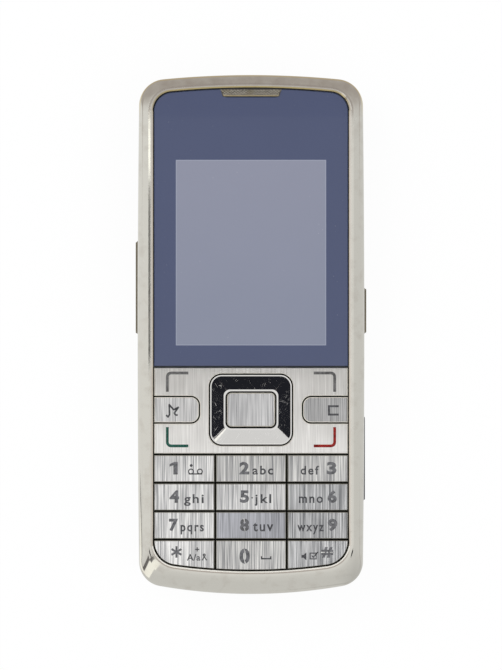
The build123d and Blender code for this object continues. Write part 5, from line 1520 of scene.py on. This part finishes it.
# ------------------------------------------------------------------------------ studio
@dataclass
class Studio:
    """Camera overhead, pale floor, soft light, and cards that only mirrored rays see."""

    picture_height: int = 670
    scale: float = 0.2072
    lens: float = 135.0
    sensor: float = 36.0
    focus_level: float = 12.9
    clip: Point = (0.01, 20.0)
    view_centre: Point = (0.0, -0.1)
    floor_size: float = 6000.0
    floor_drop: float = 0.1
    floor_colour: Colour = (0.92, 0.92, 0.92)
    floor_glow: float = 0.95
    floor_shade: float = 0.7
    east_reach: float = 8.0
    end_reach: float = 5.0
    rim: Point = (23.6, 54.0)
    soft_light: Colour = (0.97, 0.98, 1.0)
    soft_strength: float = 0.75
    card_level: float = 900.0
    card_angles: Point = (17.0, 31.5)
    card_sweep: Point = (-38.0, 218.0)
    dark_strip: tuple[Point, ...] = ((-54.6, -16.0), (-54.6, 86.0), (-95.0, -16.0), (-95.0, 60.0))
    bright_strip: tuple[Point, ...] = ((-55.2, 90.0), (-55.2, 134.0), (-230.0, 90.0), (-230.0, 150.0))
    north_card: tuple[Point, ...] = ((-76.0, 122.0), (76.0, 122.0), (-200.0, 276.0), (200.0, 276.0))
    grey_wedge: Point = (209.0, 216.0)
    bright_wedge: Point = (217.0, 232.0)
    wedge_near: float = 62.0
    wedge_far: float = 700.0
    wedge_foot: float = 0.3
    wedge_steps: int = 8
    over_drop: float = 2.0
    wedge_tip: Point = (-42.3, -118.8)
    tip_radius: float = 8.0

    def camera(self) -> None:
        """Hangs the camera straight over the phone."""
        distance = self.picture_height * self.scale * self.lens / self.sensor
        lens = bpy.data.cameras.new("overhead_camera")
        lens.lens = self.lens
        lens.sensor_width = self.sensor
        lens.clip_start, lens.clip_end = self.clip
        held = linked("overhead_camera", lens)
        held.location = Vector((*self.view_centre, self.focus_level + distance)) * MM
        bpy.context.scene.camera = held

    def mirrored(self, pen: Wiring, east: object, north: object) -> tuple[Socket, Socket]:
        """Tells apart the rays that see the studio's backdrop.

        Args:
            pen: The pen for the floor's or the room's tree.
            east: How far to the right the backdrop's spot is.
            north: How far to the phone's top end it is.

        Returns:
            A mask of the camera's, mirrored and transmitted rays, and the colour that they see, which
            is white but for the mirrored ones.
        """
        rays = pen.add("ShaderNodeLightPath").outputs
        seen = pen.plus(rays["Is Camera Ray"], rays["Is Glossy Ray"])
        seen = pen.least(pen.plus(seen, rays["Is Transmission Ray"]), 1.0)
        room = pen.add("ShaderNodeGroup", {"node_tree": EFFECTS.get(Effect.ROOM)}, East=east, North=north)
        return seen, pen.mix(rays["Is Glossy Ray"], WHITE, room.outputs["Colour"])

    def floor(self) -> None:
        """Lays the pale floor, which shows white and keeps a soft shadow."""
        below = (0.0, 0.0, -self.floor_drop * MM)
        bpy.ops.mesh.primitive_plane_add(size=self.floor_size * MM, location=below)
        floor = bpy.context.active_object
        floor.name = "studio_floor"
        paint = bpy.data.materials.new("studio_floor")
        pen = emptied(paint)
        x, y, _ = pen.axes(pen.place())
        half_width, half_length = (size * MM for size in self.rim)
        reach, shade = self.end_reach * MM, self.floor_shade
        east = pen.span(x, half_width, half_width + self.east_reach * MM, 0.0, shade)
        north = pen.span(y, half_length - MM, half_length + reach, 0.0, shade)
        south = pen.span(y, -half_length - reach, -half_length + MM, -shade, 0.0)
        seen, glow = self.mirrored(pen, east, pen.plus(north, south))
        matt = pen.add("ShaderNodeBsdfDiffuse", Color=self.floor_colour)
        white = pen.add("ShaderNodeEmission", Color=glow, Strength=1.0)
        inputs = enumerate((pen.times(seen, self.floor_glow), matt.outputs[0], white.outputs[0]))
        mixed = pen.numbered("ShaderNodeMixShader", {}, inputs)
        pen.add("ShaderNodeOutputMaterial", Surface=mixed.outputs[0])
        floor.data.materials.append(paint)

    def surroundings(self) -> None:
        """Makes the room white where it is seen, toned where it is mirrored, and softly lit elsewhere."""
        world = bpy.data.worlds.new("studio_room")
        bpy.context.scene.world = world
        pen = emptied(world)
        x, y, _ = pen.axes(pen.add("ShaderNodeTexCoord").outputs["Generated"])
        seen, glow = self.mirrored(pen, x, y)
        soft = pen.add("ShaderNodeBackground", Color=self.soft_light, Strength=self.soft_strength)
        white = pen.add("ShaderNodeBackground", Color=glow, Strength=1.0)
        mixed = pen.numbered("ShaderNodeMixShader", {}, enumerate((seen, soft.outputs[0], white.outputs[0])))
        pen.add("ShaderNodeOutputWorld", Surface=mixed.outputs[0])

    def lamp(self, name: str, place: Place, size: float, power: float) -> None:
        """Hangs one soft lamp that points at the phone.

        Args:
            name: The lamp's name.
            place: Where it hangs, in metres.
            size: Its width, in metres.
            power: Its power, in watts.
        """
        light = bpy.data.lights.new(name, "AREA")
        light.size = size
        light.energy = power
        held = linked(name, light)
        held.location = place
        held.rotation_euler = (-Vector(place)).to_track_quat("-Z", "Y").to_euler()
        held.visible_glossy = False

    def card(self, name: str, rows: Sequence[Sequence[Place]], finish: Card) -> None:
        """Hangs a card that only mirrored rays see.

        Args:
            name: The card's name.
            rows: Lines of points, each as long as the next, that span the card.
            finish: Its colour.
        """
        count = len(rows[0])
        starts = [row * count + step for row in range(len(rows) - 1) for step in range(count - 1)]
        faces = [(start, start + 1, start + count + 1, start + count) for start in starts]
        made = piece(name, [point for row in rows for point in row], faces, finish)
        for ray in ("camera", "diffuse", "shadow", "transmission", "volume_scatter"):
            setattr(made, f"visible_{ray}", False)

    def fan(self, angles: Point, rims: Sequence[Point], steps: int = 48) -> list[list[Place]]:
        """Draws rows of points that fan round an upright axis.

        Args:
            angles: First and last angle from +X, in degrees.
            rims: Radius and height of each row.
            steps: Steps along each row.

        Returns:
            The rows.
        """
        first, last = (math.radians(angle) for angle in angles)
        turns = [first + (last - first) * step / steps for step in range(steps + 1)]
        units = [(math.cos(turn), math.sin(turn)) for turn in turns]
        return [[(radius * x, radius * y, height) for x, y in units] for radius, height in rims]

    def cards(self) -> None:
        """Hangs a card round the ring key, three strips over the land, and two wedges past a corner."""
        level = self.card_level
        rims = [(math.tan(math.radians(angle)) * level, level) for angle in self.card_angles]
        self.card("card_ring", self.fan(self.card_sweep, rims), Palette.dark_card)
        for name, corners, drop, finish in (
            ("card_dark_strip", self.dark_strip, 0.0, Palette.black_strip),
            ("card_bright_strip", self.bright_strip, 0.0, Palette.bright_strip),
            ("card_north", self.north_card, 1.0, Palette.brown_card),
        ):
            hung = [(*corner, level - drop) for corner in corners]
            self.card(name, [hung[:2], hung[2:]], finish)
        near, far, foot = self.wedge_near, self.wedge_far, self.wedge_foot
        reach = [(near, foot), (far, foot), (far, level)]
        over = [(self.tip_radius, level - self.over_drop), (far, level - self.over_drop)]
        tip_x, tip_y = self.wedge_tip
        for name, angles, finish in (
            ("card_grey_wedge", self.grey_wedge, Palette.grey_wedge),
            ("card_bright_wedge", self.bright_wedge, Palette.bright_wedge),
        ):
            self.card(name, self.fan(angles, reach, self.wedge_steps), finish)
            rows = self.fan(angles, over, self.wedge_steps)
            moved = [[(x + tip_x, y + tip_y, z) for x, y, z in row] for row in rows]
            self.card(f"{name}_over", moved, finish)

    def dress(self) -> None:
        """Sets up the whole studio."""
        self.camera()
        self.floor()
        self.surroundings()
        self.cards()
        self.lamp("lamp_left", (-0.7, 0.5, 0.9), 0.8, 5.0)
        self.lamp("lamp_right", (0.8, -0.4, 0.9), 0.8, 3.5)
        bpy.context.scene.view_settings.view_transform = "Standard"
        LOG.info("studio set")


def main() -> None:
    """Builds the studio and dresses the phone."""
    logging.basicConfig(level=logging.INFO, format="%(name)s: %(message)s")
    side_caps = (SideCap("volume_rocker", -1), SideCap("side_key", 1))
    for group in (Studio(), Solids(), Bezel(), EarpieceWeave(), *side_caps, Legends()):
        group.dress()


if __name__ == "__main__":
    main()
